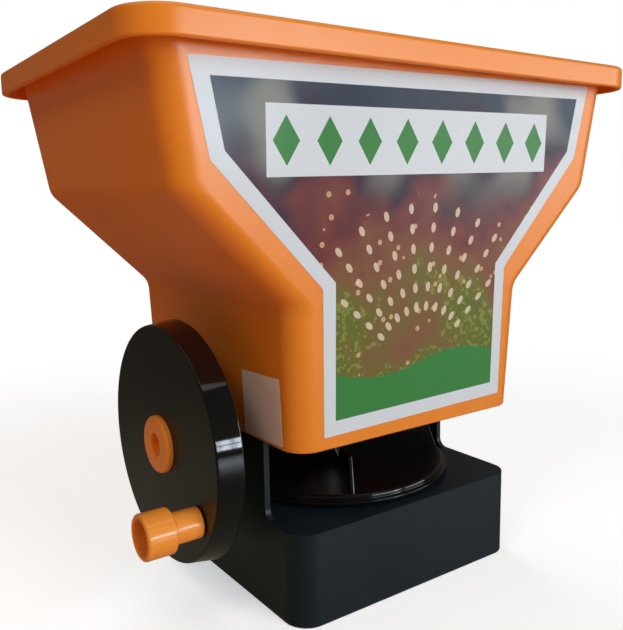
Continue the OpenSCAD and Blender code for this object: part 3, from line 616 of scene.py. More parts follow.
hopper = loft("hopper_shell", hopper_rings, hopper_orange, steps=CORNER_STEPS)
print("hopper has", len(hopper_rings), "rings and", len(hopper.data.polygons), "faces")

# %% Cuts in the hopper
def block(name, low, high):
    """A box between two corners in mm."""
    low = Vector(low) * MM
    high = Vector(high) * MM
    fitted = Matrix.Translation((low + high) / 2) @ Matrix.Diagonal((*(high - low), 1))
    work = bmesh.new()
    bmesh.ops.create_cube(work, size=1, matrix=fitted)
    return work_object(name, work)


def rod(name, radius, length, place, turn=(0, 0, 0), material=None):
    """A plain round rod in mm that starts at place and points along its turned Z axis."""
    rows = [(0, 0, 0), (radius, 0, 0), (radius, length, 0), (0, length, 0)]
    return turned(name, rows, material, turn, place)


def cut(piece, *cutters):
    """Takes the cutters' shapes out of the piece, and then removes the cutters."""
    for cutter in cutters:
        difference = piece.modifiers.new("cut", "BOOLEAN")
        difference.operation = "DIFFERENCE"
        difference.solver = "EXACT"
        difference.object = cutter
    bake(piece)
    for cutter in cutters:
        bpy.data.objects.remove(cutter)
    return piece


SPINNER_Y = -7.0
AXLE_Z = 67.5
ALONG_X = (0, QUARTER_TURN, 0)
CUT_OVER = 1.0
OUTLET = ((-13, 14, FLOOR_Z - CUT_OVER), (13, 36, FLOOR_TOP + CUT_OVER))
GATE_SLOT = ((-16.3, 64, 87.4), (16.3, 77, 89.85))
SHAFT_HOLE_R = 4.6
SHAFT_HOLE_L = 5
AXLE_NOTCH_R = 7.4
AXLE_NOTCH_L = 6
AXLE_NOTCH_X = -64
cut(
    hopper,
    block("outlet_cut", *OUTLET),
    block("gate_slot_cut", *GATE_SLOT),
    rod("shaft_cut", SHAFT_HOLE_R, SHAFT_HOLE_L, (0, SPINNER_Y, FLOOR_Z - CUT_OVER)),
    rod("axle_notch_cut", AXLE_NOTCH_R, AXLE_NOTCH_L, (AXLE_NOTCH_X, SPINNER_Y, AXLE_Z), ALONG_X),
)
smooth(hopper)
print("hopper is cut for the outlet, the gate, the shaft and the axle")

# %% Posts under the hopper floor
POST_R = 4
POST_X = 50.0
POST_LOW_Z = 78.0
POST_SUNK = 1.0
POST_PLACES = [(-POST_X, 52.5), (POST_X, 52.5), (-POST_X, -34.5), (POST_X, -11.5)]


def join(target, *others):
    """Adds other pieces' meshes to the target's."""
    work = bmesh.new()
    for piece in (target, *others):
        work.from_mesh(piece.data)
    work.to_mesh(target.data)
    work.free()
    for piece in others:
        bpy.data.objects.remove(piece)
    return target


post_length = FLOOR_Z + POST_SUNK - POST_LOW_Z
posts = [
    smooth(rod("post", POST_R, post_length, (x, y, POST_LOW_Z), material=hopper_orange))
    for x, y in POST_PLACES
]
join(hopper, *posts)
stand_in(hopper, "hopper")

# %% [markdown]
# ## Softened copies
# The stand, the handle, the gate's tab and the cover have the right shape, but a solid's edges are perfectly
# sharp, and no moulded edge is. A copy of each solid is merged, its coplanar triangles become broad faces
# again, and a small bevel rounds the edges, so that they catch a line of light.

# %% Copies with rounded edges
SAME_PLANE = math.radians(1)
BEVEL_STEPS = 3


def softened_copy(node_name, bevel, material):
    """A copy of a solid with its edges rounded by bevel, in mm."""
    work = bmesh.new()
    work.from_mesh(frame["nodes"][node_name].data)
    bmesh.ops.remove_doubles(work, verts=work.verts, dist=MERGE_DISTANCE)
    bmesh.ops.dissolve_limit(work, angle_limit=SAME_PLANE, verts=work.verts, edges=work.edges)
    piece = work_object(node_name + "_soft", work, material)
    edge_round = piece.modifiers.new("rounded edges", "BEVEL")
    edge_round.width = bevel * MM
    edge_round.segments = BEVEL_STEPS
    edge_round.limit_method = "ANGLE"
    edge_round.angle_limit = CRISP_ANGLE
    bake(piece)
    stand_in(smooth(piece), node_name)


softened_copy("base_housing", 0.5, stand_black)
softened_copy("base_cover", 0.4, stand_black)
softened_copy("rear_handle", 0.8, hopper_orange)
softened_copy("gate_tab", 0.7, trim_orange)

# %% [markdown]
# ## What goes round a centre
# The spinner has four vanes and the wheel has six ribs behind its face. One tree places a blade a number of
# times round the Z axis, turns the whole ring to where its axis is, and makes it one mesh.

# %% Tree: ring of blades
blade_tree, blade_in, blade_out = new_tree("ring_of_blades", "GeometryNodeTree", {
    "Geometry": "Geometry", "Blade": "Object", "Count": "Int", "Start Angle": "Float",
    "Turn": "Rotation", "Place": "Vector", "Material": "Material",
}, {"Geometry": "Geometry"})
blade_count = blade_in.outputs["Count"]
blade_index = Number(blade_tree, blade_tree.nodes.new("GeometryNodeInputIndex").outputs[0])
blade_angle = blade_index / blade_count * (2 * math.pi) + blade_in.outputs["Start Angle"]
spun = add_node(blade_tree, "ShaderNodeCombineXYZ", {"Z": blade_angle})
blade_turn = add_node(blade_tree, "FunctionNodeEulerToRotation", {0: spun.outputs[0]})
centres = add_node(blade_tree, "GeometryNodePoints", {"Count": blade_count})
blade_shape = add_node(blade_tree, "GeometryNodeObjectInfo", {"Object": blade_in.outputs["Blade"]})
ring = add_node(blade_tree, "GeometryNodeInstanceOnPoints", {
    "Points": centres.outputs[0], "Instance": blade_shape.outputs["Geometry"],
    "Rotation": blade_turn.outputs[0],
})
end_tree(blade_tree, blade_in, blade_out, place_geometry(blade_tree, blade_in, ring.outputs[0]))

# %% Blades from an outline
def slab(points, thickness):
    """A bmesh of a flat outline in metres that is drawn out along the vector thickness."""
    work = bmesh.new()
    face = work.faces.new([work.verts.new(point) for point in points])
    grown = bmesh.ops.extrude_face_region(work, geom=[face])
    moved = [item for item in grown["geom"] if isinstance(item, bmesh.types.BMVert)]
    bmesh.ops.translate(work, verts=moved, vec=thickness)
    bmesh.ops.recalc_face_normals(work, faces=work.faces)
    return work


def plate(name, outline, thickness, bevel):
    """A flat blade: an outline of (across, up) points in mm in the XZ plane, with its thickness along Y."""
    front = [Vector((x, -thickness / 2, z)) * MM for x, z in outline]
    work = slab(front, Vector((0, thickness, 0)) * MM)
    bmesh.ops.bevel(work, geom=work.edges[:], offset=bevel * MM, segments=2, affect="EDGES", profile=0.5)
    return work_object(name, work)


def ring_of(blade, count, start_angle, material, turn=(0, 0, 0), place=(0, 0, 0)):
    """Copies of the blade round an axis, as one plain mesh; the single blade is removed."""
    ring_piece = grow(new_object(blade.name + "_ring", bpy.data.meshes.new(blade.name)), blade_tree, {
        "Blade": blade, "Count": count, "Start Angle": start_angle, "Turn": turn,
        "Place": Vector(place) * MM, "Material": material,
    })
    bpy.data.objects.remove(blade)
    return smooth(ring_piece)


print("blades can be set in rings")

# %% [markdown]
# ## Spinner
# The spinner is a black disc with a low step round its edge, a hub for the shaft and four upright vanes. The
# vanes are low near the hub, where the gear passes over them, and high outside. The edge and the vanes
# shine, and the disc's top has a satin skin, so the faces of its top get a finish of their own.

# %% A second finish on some faces
NEARLY_FLAT = 0.9
SKIN_DEPTH = 0.5 * MM


def refinish(piece, material, chosen):
    """Gives another finish to the faces of the piece that chosen picks."""
    piece.data.materials.append(material)
    picked = [face for face in piece.data.polygons if chosen(face)]
    for face in picked:
        face.material_index = len(piece.data.materials) - 1
    print(piece.name, "has", len(picked), "faces in", material.name)


# %% Spinner disc and vanes
DISC_Z = 40.2
DISC_T = 4.0
DISC_R = 55.8
DISC_TOP_R = 54.0
DISC_STEP_H = 1.5
DISC_STEPS = 32
DISC_HUB_R = 8.0
DISC_HUB_H = 11.5
DISC_BORE_R = 3.03
VANE_COUNT = 4
VANE_T = 1.6
VANE_EDGE = 0.35
VANE_ANGLE = math.radians(-27)
VANE_OUTLINE = [(7, -0.5), (53, -0.5), (53, 0), (48, 15), (27.2, 15), (24.2, 6), (7, 6)]
disc_top = (DISC_Z + DISC_T) * MM
disc = smooth(turned("spinner_turned", [
    (DISC_BORE_R, 0, 0),
    (DISC_R, 0, 0.4),
    (DISC_R, DISC_STEP_H, 0.4),
    (DISC_TOP_R, DISC_STEP_H, 0.3),
    (DISC_TOP_R, DISC_T, 1.4),
    (DISC_HUB_R, DISC_T, 1.2),
    (DISC_HUB_R, DISC_HUB_H, 0.8),
    (DISC_BORE_R, DISC_HUB_H, 0),
], gloss_black, place=(0, SPINNER_Y, DISC_Z), steps=DISC_STEPS))
refinish(disc, satin_black, lambda face: (
    face.normal.z > NEARLY_FLAT and abs(face.center.z - disc_top) < SKIN_DEPTH
))
vanes = ring_of(plate("vane", VANE_OUTLINE, VANE_T, VANE_EDGE), VANE_COUNT, VANE_ANGLE, gloss_black,
                place=(0, SPINNER_Y, DISC_Z + DISC_T))
stand_in(join(disc, vanes), "spinner_disc")

# %% [markdown]
# ## Crank wheel, cap and knob
# The wheel is a shallow black drum with a rounded front edge, closed in front and open behind, where ribs
# stiffen it. Its skirt is polished, and its face has a satin skin that shows no clear mirror image. An
# orange cap with a deep hole plugs the hub, and an orange stepped knob turns on a headed pin.

# %% Crank wheel
WHEEL_FACE_X = -89.0
WHEEL_FRONT_R = 50.0
WHEEL_BACK_R = 51.7
WHEEL_DEPTH = 11
WHEEL_WALL = 2.6
WHEEL_STEPS = 40
WHEEL_HUB_R = 8.0
WHEEL_HUB_L = 27.6
AXLE_BORE_R = 3.53
CAP_SEAT_R = 6.43
CAP_SEAT_L = 5.4
RIB_COUNT = 6
RIB_T = 1.6
RIB_EDGE = 0.3
RIB_OUTLINE = [(7, 1.3), (47.9, 1.3), (47.9, 9.7), (7, 9.7)]
KNOB_Y = -39.766
KNOB_Z = 44.557
BOSS_FROM = 1.3
BOSS_R = 6
BOSS_L = 7
BOSS_BORE_R = 3.03
wheel_place = (WHEEL_FACE_X, SPINNER_Y, AXLE_Z)
wheel = smooth(turned("wheel_turned", [
    (CAP_SEAT_R, 0, 0),
    (WHEEL_FRONT_R, 0, 0.8),
    (WHEEL_BACK_R, WHEEL_DEPTH, 0.7),
    (WHEEL_BACK_R - WHEEL_WALL, WHEEL_DEPTH, 0.7),
    (WHEEL_FRONT_R - WHEEL_WALL, WHEEL_WALL, 1.0),
    (WHEEL_HUB_R, WHEEL_WALL, 1.2),
    (WHEEL_HUB_R, WHEEL_HUB_L, 0.6),
    (AXLE_BORE_R, WHEEL_HUB_L, 0),
    (AXLE_BORE_R, CAP_SEAT_L, 0),
    (CAP_SEAT_R, CAP_SEAT_L, 0),
], gloss_black, ALONG_X, wheel_place, steps=WHEEL_STEPS))
ribs = ring_of(plate("rib", RIB_OUTLINE, RIB_T, RIB_EDGE), RIB_COUNT, 0.0, gloss_black, ALONG_X, wheel_place)
knob_boss = smooth(turned("knob_boss", [
    (BOSS_BORE_R, BOSS_FROM, 0),
    (BOSS_R, BOSS_FROM, 0),
    (BOSS_R, BOSS_L, 0.6),
    (BOSS_BORE_R, BOSS_L, 0),
], gloss_black, ALONG_X, (WHEEL_FACE_X, KNOB_Y, KNOB_Z)))
join(wheel, ribs, knob_boss)
refinish(wheel, satin_black, lambda face: (
    face.normal.x < -NEARLY_FLAT and face.center.x < WHEEL_FACE_X * MM + SKIN_DEPTH
))
stand_in(wheel, "crank_wheel")

# %% Hub cap and knob
AGAINST_X = (0, -QUARTER_TURN, 0)
CAP_R = 12.2
CAP_H = 3.1
CAP_PLUG_R = 6.4
CAP_PLUG_END = -5
CAP_HOLE_R = 4.8
CAP_HOLE_END = -3.8
KNOB_GAP = 0.4
KNOB_BORE_R = 3.05
KNOB_NECK_R = 6.2
KNOB_NECK_L = 12
KNOB_R = 9.0
KNOB_L = 24
KNOB_HOLE_R = 7.0
KNOB_HOLE_END = 12.5
hub_cap = smooth(turned("hub_cap_turned", [
    (0, CAP_PLUG_END, 0),
    (CAP_PLUG_R, CAP_PLUG_END, 0.3),
    (CAP_PLUG_R, 0, 0),
    (CAP_R, 0, 0.3),
    (CAP_R, CAP_H, 1.6),
    (CAP_HOLE_R, CAP_H, 0.7),
    (CAP_HOLE_R, CAP_HOLE_END, 0.8),
    (0, CAP_HOLE_END, 0),
], trim_orange, AGAINST_X, wheel_place))
stand_in(hub_cap, "hub_cap")
knob = smooth(turned("knob_turned", [
    (KNOB_BORE_R, 0, 0),
    (KNOB_NECK_R, 0, 0.5),
    (KNOB_NECK_R, KNOB_NECK_L, 0.6),
    (KNOB_R, KNOB_NECK_L, 1.0),
    (KNOB_R, KNOB_L, 1.2),
    (KNOB_HOLE_R, KNOB_L, 0.6),
    (KNOB_HOLE_R, KNOB_HOLE_END, 0.6),
    (KNOB_BORE_R, KNOB_HOLE_END, 0),
], trim_orange, AGAINST_X, (WHEEL_FACE_X - KNOB_GAP, KNOB_Y, KNOB_Z)))
stand_in(knob, "crank_knob")

# %% [markdown]
# ## Screws and rivets
# Small steel screws hold the cover, the hopper, the bracket, the spout and the handle, and two rivets hold
# the gate's tab. Their places are read from the solids: each loose part of a node is one fastener. A tree
# sets one finely made fastener on each of those places, turned to its own direction.

# %% Tree: fasteners on places
fastener_tree, fastener_in, fastener_out = new_tree("fasteners", "GeometryNodeTree", {
    "Places": "Geometry", "Fastener": "Object", "Direction": "Vector", "Material": "Material",
}, {"Geometry": "Geometry"})
fastener_turn = add_node(fastener_tree, "FunctionNodeAlignRotationToVector", {
    "Vector": fastener_in.outputs["Direction"],
}, axis="Z")
fastener_shape = add_node(fastener_tree, "GeometryNodeObjectInfo", {
    "Object": fastener_in.outputs["Fastener"],
})
fastened = add_node(fastener_tree, "GeometryNodeInstanceOnPoints", {
    "Points": fastener_in.outputs["Places"], "Instance": fastener_shape.outputs["Geometry"],
    "Rotation": fastener_turn.outputs[0],
})
end_tree(fastener_tree, fastener_in, fastener_out, fastened.outputs[0])

# %% Places of the fasteners
END_DEPTH = 0.05 * MM


def loose_parts(node_name):
    """The corner points of each loose part of a solid."""
    work = bmesh.new()
    work.from_mesh(frame["nodes"][node_name].data)
    bmesh.ops.remove_doubles(work, verts=work.verts, dist=MERGE_DISTANCE)
    parts = []
    waiting = set(work.verts)
    while waiting:
        front = [waiting.pop()]
        part = []
        while front:
            vert = front.pop()
            part.append(vert.co.copy())
            for edge in vert.link_edges:
                other = edge.other_vert(vert)
                if other in waiting:
                    waiting.remove(other)
                    front.append(other)
        parts.append(part)
    work.free()
    return parts


def part_axis(part, direction):
    """Where a fastener starts, on its own axis, and how long it is, both measured along direction."""
    heights = [point.dot(direction) for point in part]
    low_ring = [point for point, height in zip(part, heights) if height < min(heights) + END_DEPTH]
    centre = sum(low_ring, Vector()) / len(low_ring)
    return centre, max(heights) - min(heights)


def set_fasteners(node_name, direction, make):
    """Replaces a node of fasteners by finer ones; make gives one fastener of a length, in mm."""
    direction = Vector(direction).normalized()
    found = [part_axis(part, direction) for part in loose_parts(node_name)]
    mesh = bpy.data.meshes.new(node_name + "_fine")
    mesh.from_pydata([start for start, length in found], [], [])
    fastener = make(found[0][1] / MM)
    piece = grow(new_object(node_name + "_fine", mesh), fastener_tree, {
        "Fastener": fastener, "Direction": direction, "Material": steel,
    })
    bpy.data.objects.remove(fastener)
    stand_in(smooth(piece), node_name)


print("hopper screws found:", len(loose_parts("hopper_screws")))

# %% Screws and rivets
HEAD_R = 3.0
HEAD_H = 1.6
SHANK_R = 1.5
POINT_L = 1.5
POINT_R = 0.5
SLOT_W = 0.9
SLOT_REACH = 1.8
SLOT_DEPTH = 1.0
RIVET_R = 1.1
RIVET_HEAD_R = 2
RIVET_HEAD_H = 1
HEAD_ROUND = 0.9
FASTENER_STEPS = 8


def screw(length):
    """A pan-head screw that starts at its head, with a cross recess and a blunt point."""
    piece = turned("screw", [
        (0, 0, 0),
        (HEAD_R, 0, HEAD_ROUND),
        (HEAD_R, HEAD_H, 0),
        (SHANK_R, HEAD_H, 0),
        (SHANK_R, length - POINT_L, 0),
        (POINT_R, length, 0),
        (0, length, 0),
    ], steel, steps=FASTENER_STEPS)
    return cut(
        piece,
        block("slot_along_x", (-SLOT_REACH, -SLOT_W / 2, -CUT_OVER), (SLOT_REACH, SLOT_W / 2, SLOT_DEPTH)),
        block("slot_along_y", (-SLOT_W / 2, -SLOT_REACH, -CUT_OVER), (SLOT_W / 2, SLOT_REACH, SLOT_DEPTH)),
    )


def rivet(length):
    """A rivet whose domed head is at its far end."""
    return turned("rivet", [
        (0, 0, 0),
        (RIVET_R, 0, 0),
        (RIVET_R, length - RIVET_HEAD_H, 0),
        (RIVET_HEAD_R, length - RIVET_HEAD_H, 0),
        (RIVET_HEAD_R, length, HEAD_ROUND),
        (0, length, 0),
    ], steel, steps=FASTENER_STEPS)


BACK_LEAN = math.atan(FACE_FLARE / (RIM_Z - BOTTOM_Z))
UP = (0, 0, 1)
DOWN = (0, 0, -1)
BACKWARD = (0, math.cos(BACK_LEAN), -math.sin(BACK_LEAN))
set_fasteners("base_cover_screws", UP, screw)
set_fasteners("hopper_screws", UP, screw)
set_fasteners("bracket_screws", DOWN, screw)
set_fasteners("spout_screws", DOWN, screw)
set_fasteners("handle_screws", BACKWARD, screw)
set_fasteners("gate_rivets", UP, rivet)

# %% [markdown]
# ## Label and sticker
# A large printed label covers the front, and follows its outline: wide above, narrow below. A small bare
# sticker sits low on the left side. Both are thin sheets that lie on the plastic, so each is an outline with
# rounded corners, carried from flat sizes onto the face that holds it. The front leans, and the label with
# it. It is also a little crooked, as a label stuck on by hand is.

# %% Thin sheets on a face
SHEET_GAP = 0.03
SHEET_T = 0.12


def thin_sheet(name, corners, to_face, outward_direction, material):
    """A thin sheet in mm from rows of (across, up, rounding); to_face carries a flat point onto its face."""
    lift = Vector(outward_direction).normalized()
    outline = [(to_face(*point) + lift * SHEET_GAP) * MM for point in rounded_path(corners)]
    piece = work_object(name, slab(outline, lift * SHEET_T * MM), material)
    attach(piece, "housing")
    print(name, "has an outline of", len(outline), "points")


LABEL_TURN = 0.0185
LABEL_PIVOT_Z = 115.0
LABEL_EDGE = [(101.0, 214.9, 0.6), (94.1, 182.8, 1.2), (49.4, 136.1, 3), (49.0, 78.1, 0.6)]
label_corners = LABEL_EDGE + [(-x, z, rounding) for x, z, rounding in reversed(LABEL_EDGE)]


def on_front(x, z):
    """A flat point of the label, turned a little about its pivot and laid on the hopper's front."""
    turned_x = x - LABEL_TURN * (z - LABEL_PIVOT_Z)
    turned_z = z + LABEL_TURN * x
    return Vector((turned_x, -half_depth(turned_z), turned_z))


def on_left_side(y, z):
    """A flat point of the sticker, on the left side of the hopper's lower box."""
    return Vector((-low_half_width(z), y, z))


FRONT_DIRECTION = (0, -math.cos(BACK_LEAN), -math.sin(BACK_LEAN))
SIDE_DIRECTION = (-1, 0, -LOWER_FLARE / (KNEE_Z - BOTTOM_Z))
print("label is", 2 * LABEL_EDGE[0][0], "mm wide at its top")

# %% [markdown]
# ## What is printed on the label
# The print has a white margin and, inside it, a soft picture of a lawn, a fan of thrown seeds, a white panel
# with a row of diamonds and a green edge. All of it is worked out from a point's place on the flat label, in
# mm: how far across it lies and how high. A mask is 1 where a shape is, and paints the shape's colour there.

# %% Label print: the printed area
PRINT_LOW = 84.0
PRINT_HIGH = 209.0
PRINT_KNEE = 138.0
PRINT_HALF_LOW = 43.6
PRINT_SLOPE = 0.945
PRINT_WIDE = 185.5
PRINT_HALF_WIDE = 88.7
PRINT_LEAN = 0.2
label_print, sheet_tree, label_shader, sheet_place = new_material("label_print")
sheet_axes = add_node(sheet_tree, "ShaderNodeSeparateXYZ", {0: sheet_place})


def sheet_noise(scale, detail):
    """A noise over the label."""
    return noise(sheet_tree, sheet_place, scale, detail)


def paint(mask, colour, under, share=1.0):
    """A colour that covers that share of another one where the mask is 1."""
    return mixed(sheet_tree, mask * share, under, colour)


def between(value, low, high):
    """1 where the value lies between low and high, else 0."""
    return (value > low) * (value < high)


face_x = Number(sheet_tree, sheet_axes.outputs["X"]) / MM
face_z = Number(sheet_tree, sheet_axes.outputs["Z"]) / MM
across = (face_z - LABEL_PIVOT_Z) * LABEL_TURN + face_x
height = face_z - face_x * LABEL_TURN
distance_out = abs(across)
half_slope = (height - PRINT_KNEE).wire("MAXIMUM", 0.0) * PRINT_SLOPE + PRINT_HALF_LOW
half_top = (height - PRINT_WIDE) * PRINT_LEAN + PRINT_HALF_WIDE
printed = (distance_out < half_slope.wire("MINIMUM", half_top)) * between(height, PRINT_LOW, PRINT_HIGH)
print("the printed area is", PRINT_HIGH - PRINT_LOW, "mm high")

# %% Label print: the tones of the picture
BLUR_SCALE = 38.0
BLUR_DEPTH = 0.9
PICTURE_TONES = [
    (0.0, (0.09, 0.17, 0.03)),
    (0.22, (0.15, 0.17, 0.04)),
    (0.42, (0.22, 0.11, 0.065)),
    (0.6, (0.17, 0.055, 0.055)),
    (0.78, (0.04, 0.03, 0.055)),
    (1.0, (0.03, 0.055, 0.09)),
]
blur = sheet_noise(BLUR_SCALE, detail=2.0) - NOISE_MIDDLE
picture_height = blur * BLUR_DEPTH + (height - PRINT_LOW) / (PRINT_HIGH - PRINT_LOW)
picture = add_node(sheet_tree, "ShaderNodeValToRGB", {"Fac": picture_height})
while len(picture.color_ramp.elements) < len(PICTURE_TONES):
    picture.color_ramp.elements.new(0.5)
for element, (position, tone) in zip(picture.color_ramp.elements, PICTURE_TONES):
    element.position = position
    element.color = (*tone, 1)
print("the picture goes through", len(PICTURE_TONES), "tones")

# %% Label print: grass, haze and drops of light
GRASS_COLOUR = (0.3, 0.38, 0.1, 1)
GRASS_DENSITY = 0.56
GRASS_TOP = 0.3
HAZE_COLOUR = (0.4, 0.42, 0.36, 1)
DROP_COLOUR = (0.8, 0.6, 0.36, 1)
DROP_SIZE = 0.17
grass = (sheet_noise(scale=420.0, detail=4.0) > GRASS_DENSITY) * (picture_height < GRASS_TOP)
haze = eased(sheet_tree, sheet_noise(BLUR_SCALE, detail=0.0), low=0.48, high=0.75)
haze_height = eased(sheet_tree, height, low=155.0, high=185.0)
cells = add_node(sheet_tree, "ShaderNodeTexVoronoi", {"Vector": sheet_place, "Scale": 150.0})
drops = Number(sheet_tree, cells.outputs["Distance"]) < DROP_SIZE
drop_height = between(picture_height, low=0.25, high=0.62)
lawn = paint(grass, GRASS_COLOUR, picture.outputs["Color"], share=0.5)
lawn = paint(haze * haze_height, HAZE_COLOUR, lawn, share=0.5)
lawn = paint(drops * drop_height, DROP_COLOUR, lawn, share=0.6)
print("the lawn's grass ends at", GRASS_TOP, "of the picture's height")

# %% Label print: a fan of thrown seeds
FAN_Z = 96.0
FAN_INNER_R = 24.0
FAN_OUTER_R = 72.0
FAN_HALF_ANGLE = math.radians(55)
ROW_PITCH = 8.0
SEED_ANGLE = math.radians(11)
SEED_SLIMNESS = 0.6
SEED_AREA = 1.5
SEED_COLOUR = (0.78, 0.72, 0.56, 1)


def from_middle(value, pitch):
    """How far the value lies from the middle of its own step, in a row of steps of that pitch."""
    return ((value / pitch).wire("FRACT") - 0.5) * pitch


fan_up = height - FAN_Z
fan_r = (across ** 2.0 + fan_up ** 2.0).wire("SQRT")
fan_angle = across.wire("ARCTAN2", fan_up)
seed_out = from_middle(fan_r, ROW_PITCH) * SEED_SLIMNESS
seed_side = from_middle(fan_angle, SEED_ANGLE) * fan_r
in_fan = between(fan_r, FAN_INNER_R, FAN_OUTER_R) * between(fan_angle, -FAN_HALF_ANGLE, FAN_HALF_ANGLE)
seeds = (seed_out ** 2.0 + seed_side ** 2.0 < SEED_AREA) * in_fan
with_seeds = paint(seeds, SEED_COLOUR, lawn, share=0.75)
print("seeds are", round(math.degrees(SEED_ANGLE)), "degrees apart")

# %% Label print: diamonds on a white panel, and a green edge
DIAMOND_PITCH = 18.5
DIAMOND_HALF_W = 5.6
DIAMOND_HALF_H = 8.6
PANEL_HALF = 73.0
PANEL_LOW = 177.0
PANEL_HIGH = 201.5
WAVE_RATE = 0.08
WAVE_HEIGHT = 3.0
WAVE_Z = 101.0
PAPER = (0.66, 0.79, 0.88, 1)
GREEN = (0.05, 0.25, 0.07, 1)
diamond_up = abs(height - (PANEL_LOW + PANEL_HIGH) / 2)
diamond_side = abs(across % DIAMOND_PITCH - DIAMOND_PITCH / 2)
diamonds = diamond_side / DIAMOND_HALF_W + diamond_up / DIAMOND_HALF_H < 1.0
panel = between(height, PANEL_LOW, PANEL_HIGH) * (distance_out < PANEL_HALF)
green_edge = height < (across * WAVE_RATE).wire("SINE") * WAVE_HEIGHT + WAVE_Z
with_edge = paint(green_edge, GREEN, with_seeds)
with_panel = paint(panel, paint(diamonds, GREEN, PAPER), with_edge)
printed_colour = paint(printed, with_panel, PAPER)
print("the panel carries a diamond every", DIAMOND_PITCH, "mm")

# %% Label print: finish
LABEL_ROUGHNESS = 0.16
LABEL_ROUGHNESS_SHIFT = 0.1
ripples = sheet_noise(scale=45.0, detail=1.0)
roughen(sheet_tree, label_shader, ripples, strength=0.25, depth=0.25)
feed(sheet_tree, label_shader.inputs["Base Color"], printed_colour)
feed(sheet_tree, label_shader.inputs["Roughness"], ripples * LABEL_ROUGHNESS_SHIFT + LABEL_ROUGHNESS)
label_shader.inputs["Specular IOR Level"].default_value = 0.16
thin_sheet("front_label", label_corners, on_front, FRONT_DIRECTION, label_print)

# %% Sticker
STICKER_CORNERS = [(-58.0, 73.5, 0.8), (-29.7, 73.0, 0.8), (-29.2, 99.5, 0.8), (-57.6, 100.5, 0.8)]
sticker_paper = plastic("sticker_paper", (0.84, 0.76, 0.74), roughness=0.5, grain_scale=1400,
                        grain_depth=0.02, tone_shift=0.06)
thin_sheet("side_sticker", STICKER_CORNERS, on_left_side, SIDE_DIRECTION, sticker_paper)

# %% [markdown]
# ## Floor and background
# The object stands on a pale floor. Round the object the floor shows its shadow, and further away it fades
# into the white background, so that no horizon shows. Camera, glossy and see-through rays find that white,
# while soft light comes from a dim warm world and from what a brown table would throw back.

# %% Floor
FLOOR_HALF = 3.0
FLOOR_LOW = -0.0002
FADE_FROM = 0.2
FADE_TO = 0.55
FLOOR_COLOUR = (0.88, 0.9, 0.92, 1)
BOUNCE_COLOUR = (0.9, 0.47, 0.28, 1)
FLOOR_LIFT = 0.54
WHITE = (1, 1, 1, 1)


def background_rays(tree):
    """1 for rays that should find the white background, else 0."""
    path = tree.nodes.new("ShaderNodeLightPath")
    seen = Number(tree, path.outputs["Is Camera Ray"]).wire("MAXIMUM", path.outputs["Is Glossy Ray"])
    return seen.wire("MAXIMUM", path.outputs["Is Transmission Ray"])


floor_paper, floor_tree, floor_shader, floor_place = new_material("floor_paper")
floor_shader.inputs["Roughness"].default_value = 0.9
for_background = background_rays(floor_tree)
floor_colour = mixed(floor_tree, for_background, BOUNCE_COLOUR, FLOOR_COLOUR)
feed(floor_tree, floor_shader.inputs["Base Color"], floor_colour)
lift = add_node(floor_tree, "ShaderNodeEmission", {
    "Color": (0.94, 0.98, 1, 1), "Strength": for_background * FLOOR_LIFT,
})
lifted = add_node(floor_tree, "ShaderNodeAddShader", {0: floor_shader.outputs[0], 1: lift.outputs[0]})
distance = add_node(floor_tree, "ShaderNodeVectorMath", {0: floor_place}, operation="LENGTH")
fade = eased(floor_tree, distance.outputs["Value"], FADE_FROM, FADE_TO) * for_background
white = add_node(floor_tree, "ShaderNodeEmission", {"Color": WHITE, "Strength": 1.0})
faded = add_node(floor_tree, "ShaderNodeMixShader", {0: fade, 1: lifted.outputs[0], 2: white.outputs[0]})
feed(floor_tree, floor_tree.nodes["Material Output"].inputs["Surface"], faded.outputs[0])
floor_work = bmesh.new()
bmesh.ops.create_grid(floor_work, x_segments=1, y_segments=1, size=FLOOR_HALF,
                      matrix=Matrix.Translation((0, 0, FLOOR_LOW)))
floor = work_object("floor", floor_work, floor_paper)
print("floor fades to white between", FADE_FROM, "and", FADE_TO, "m")

# %% World
WORLD_DIM = 0.14
FILL_COLOUR = (1, 0.7, 0.5, 1)
world = bpy.data.worlds.new("studio")
bpy.context.scene.world = world
world.use_nodes = True
world_tree = world.node_tree
backdrop = world_tree.nodes["Background"]
for_backdrop = background_rays(world_tree)
feed(world_tree, backdrop.inputs["Color"], mixed(world_tree, for_backdrop, FILL_COLOUR, WHITE))
feed(world_tree, backdrop.inputs["Strength"], for_backdrop * (1 - WORLD_DIM) + WORLD_DIM)
print("the world's soft light is", WORLD_DIM, "of the white that the camera sees")

# %% [markdown]
# ## What the shiny faces mirror
# Shiny plastic mirrors what stands round it, and a room that is white on every side makes black look grey.
# So a dim screen stands round the object, with a polished brown table top at its foot and a long low window
# with many panes in front. The table top carries a painted pool of light, brightest just behind and left of
# the object. Only reflections find them: the camera, the shadows and the soft light pass through.

# %% Helpers: what only reflections see
def only_mirrored(name, work, material):
    """An object of the stage that no ray but a glossy one finds."""
    piece = work_object(name, work, material)
    for ray in ("camera", "diffuse", "transmission", "shadow", "volume_scatter"):
        setattr(piece, "visible_" + ray, False)
    print(name, "is there for reflections only")


def stage_material(name, colour, roughness, shine, glow=0.0):
    """A plain material for the stage, with its tree, its shader and its Object coordinates."""
    material, tree, shader, place = new_material(name)
    shader.inputs["Base Color"].default_value = (*colour, 1)
    shader.inputs["Roughness"].default_value = roughness
    shader.inputs["Specular IOR Level"].default_value = shine
    shader.inputs["Emission Color"].default_value = (*colour, 1)
    shader.inputs["Emission Strength"].default_value = glow
    return material, tree, shader, place


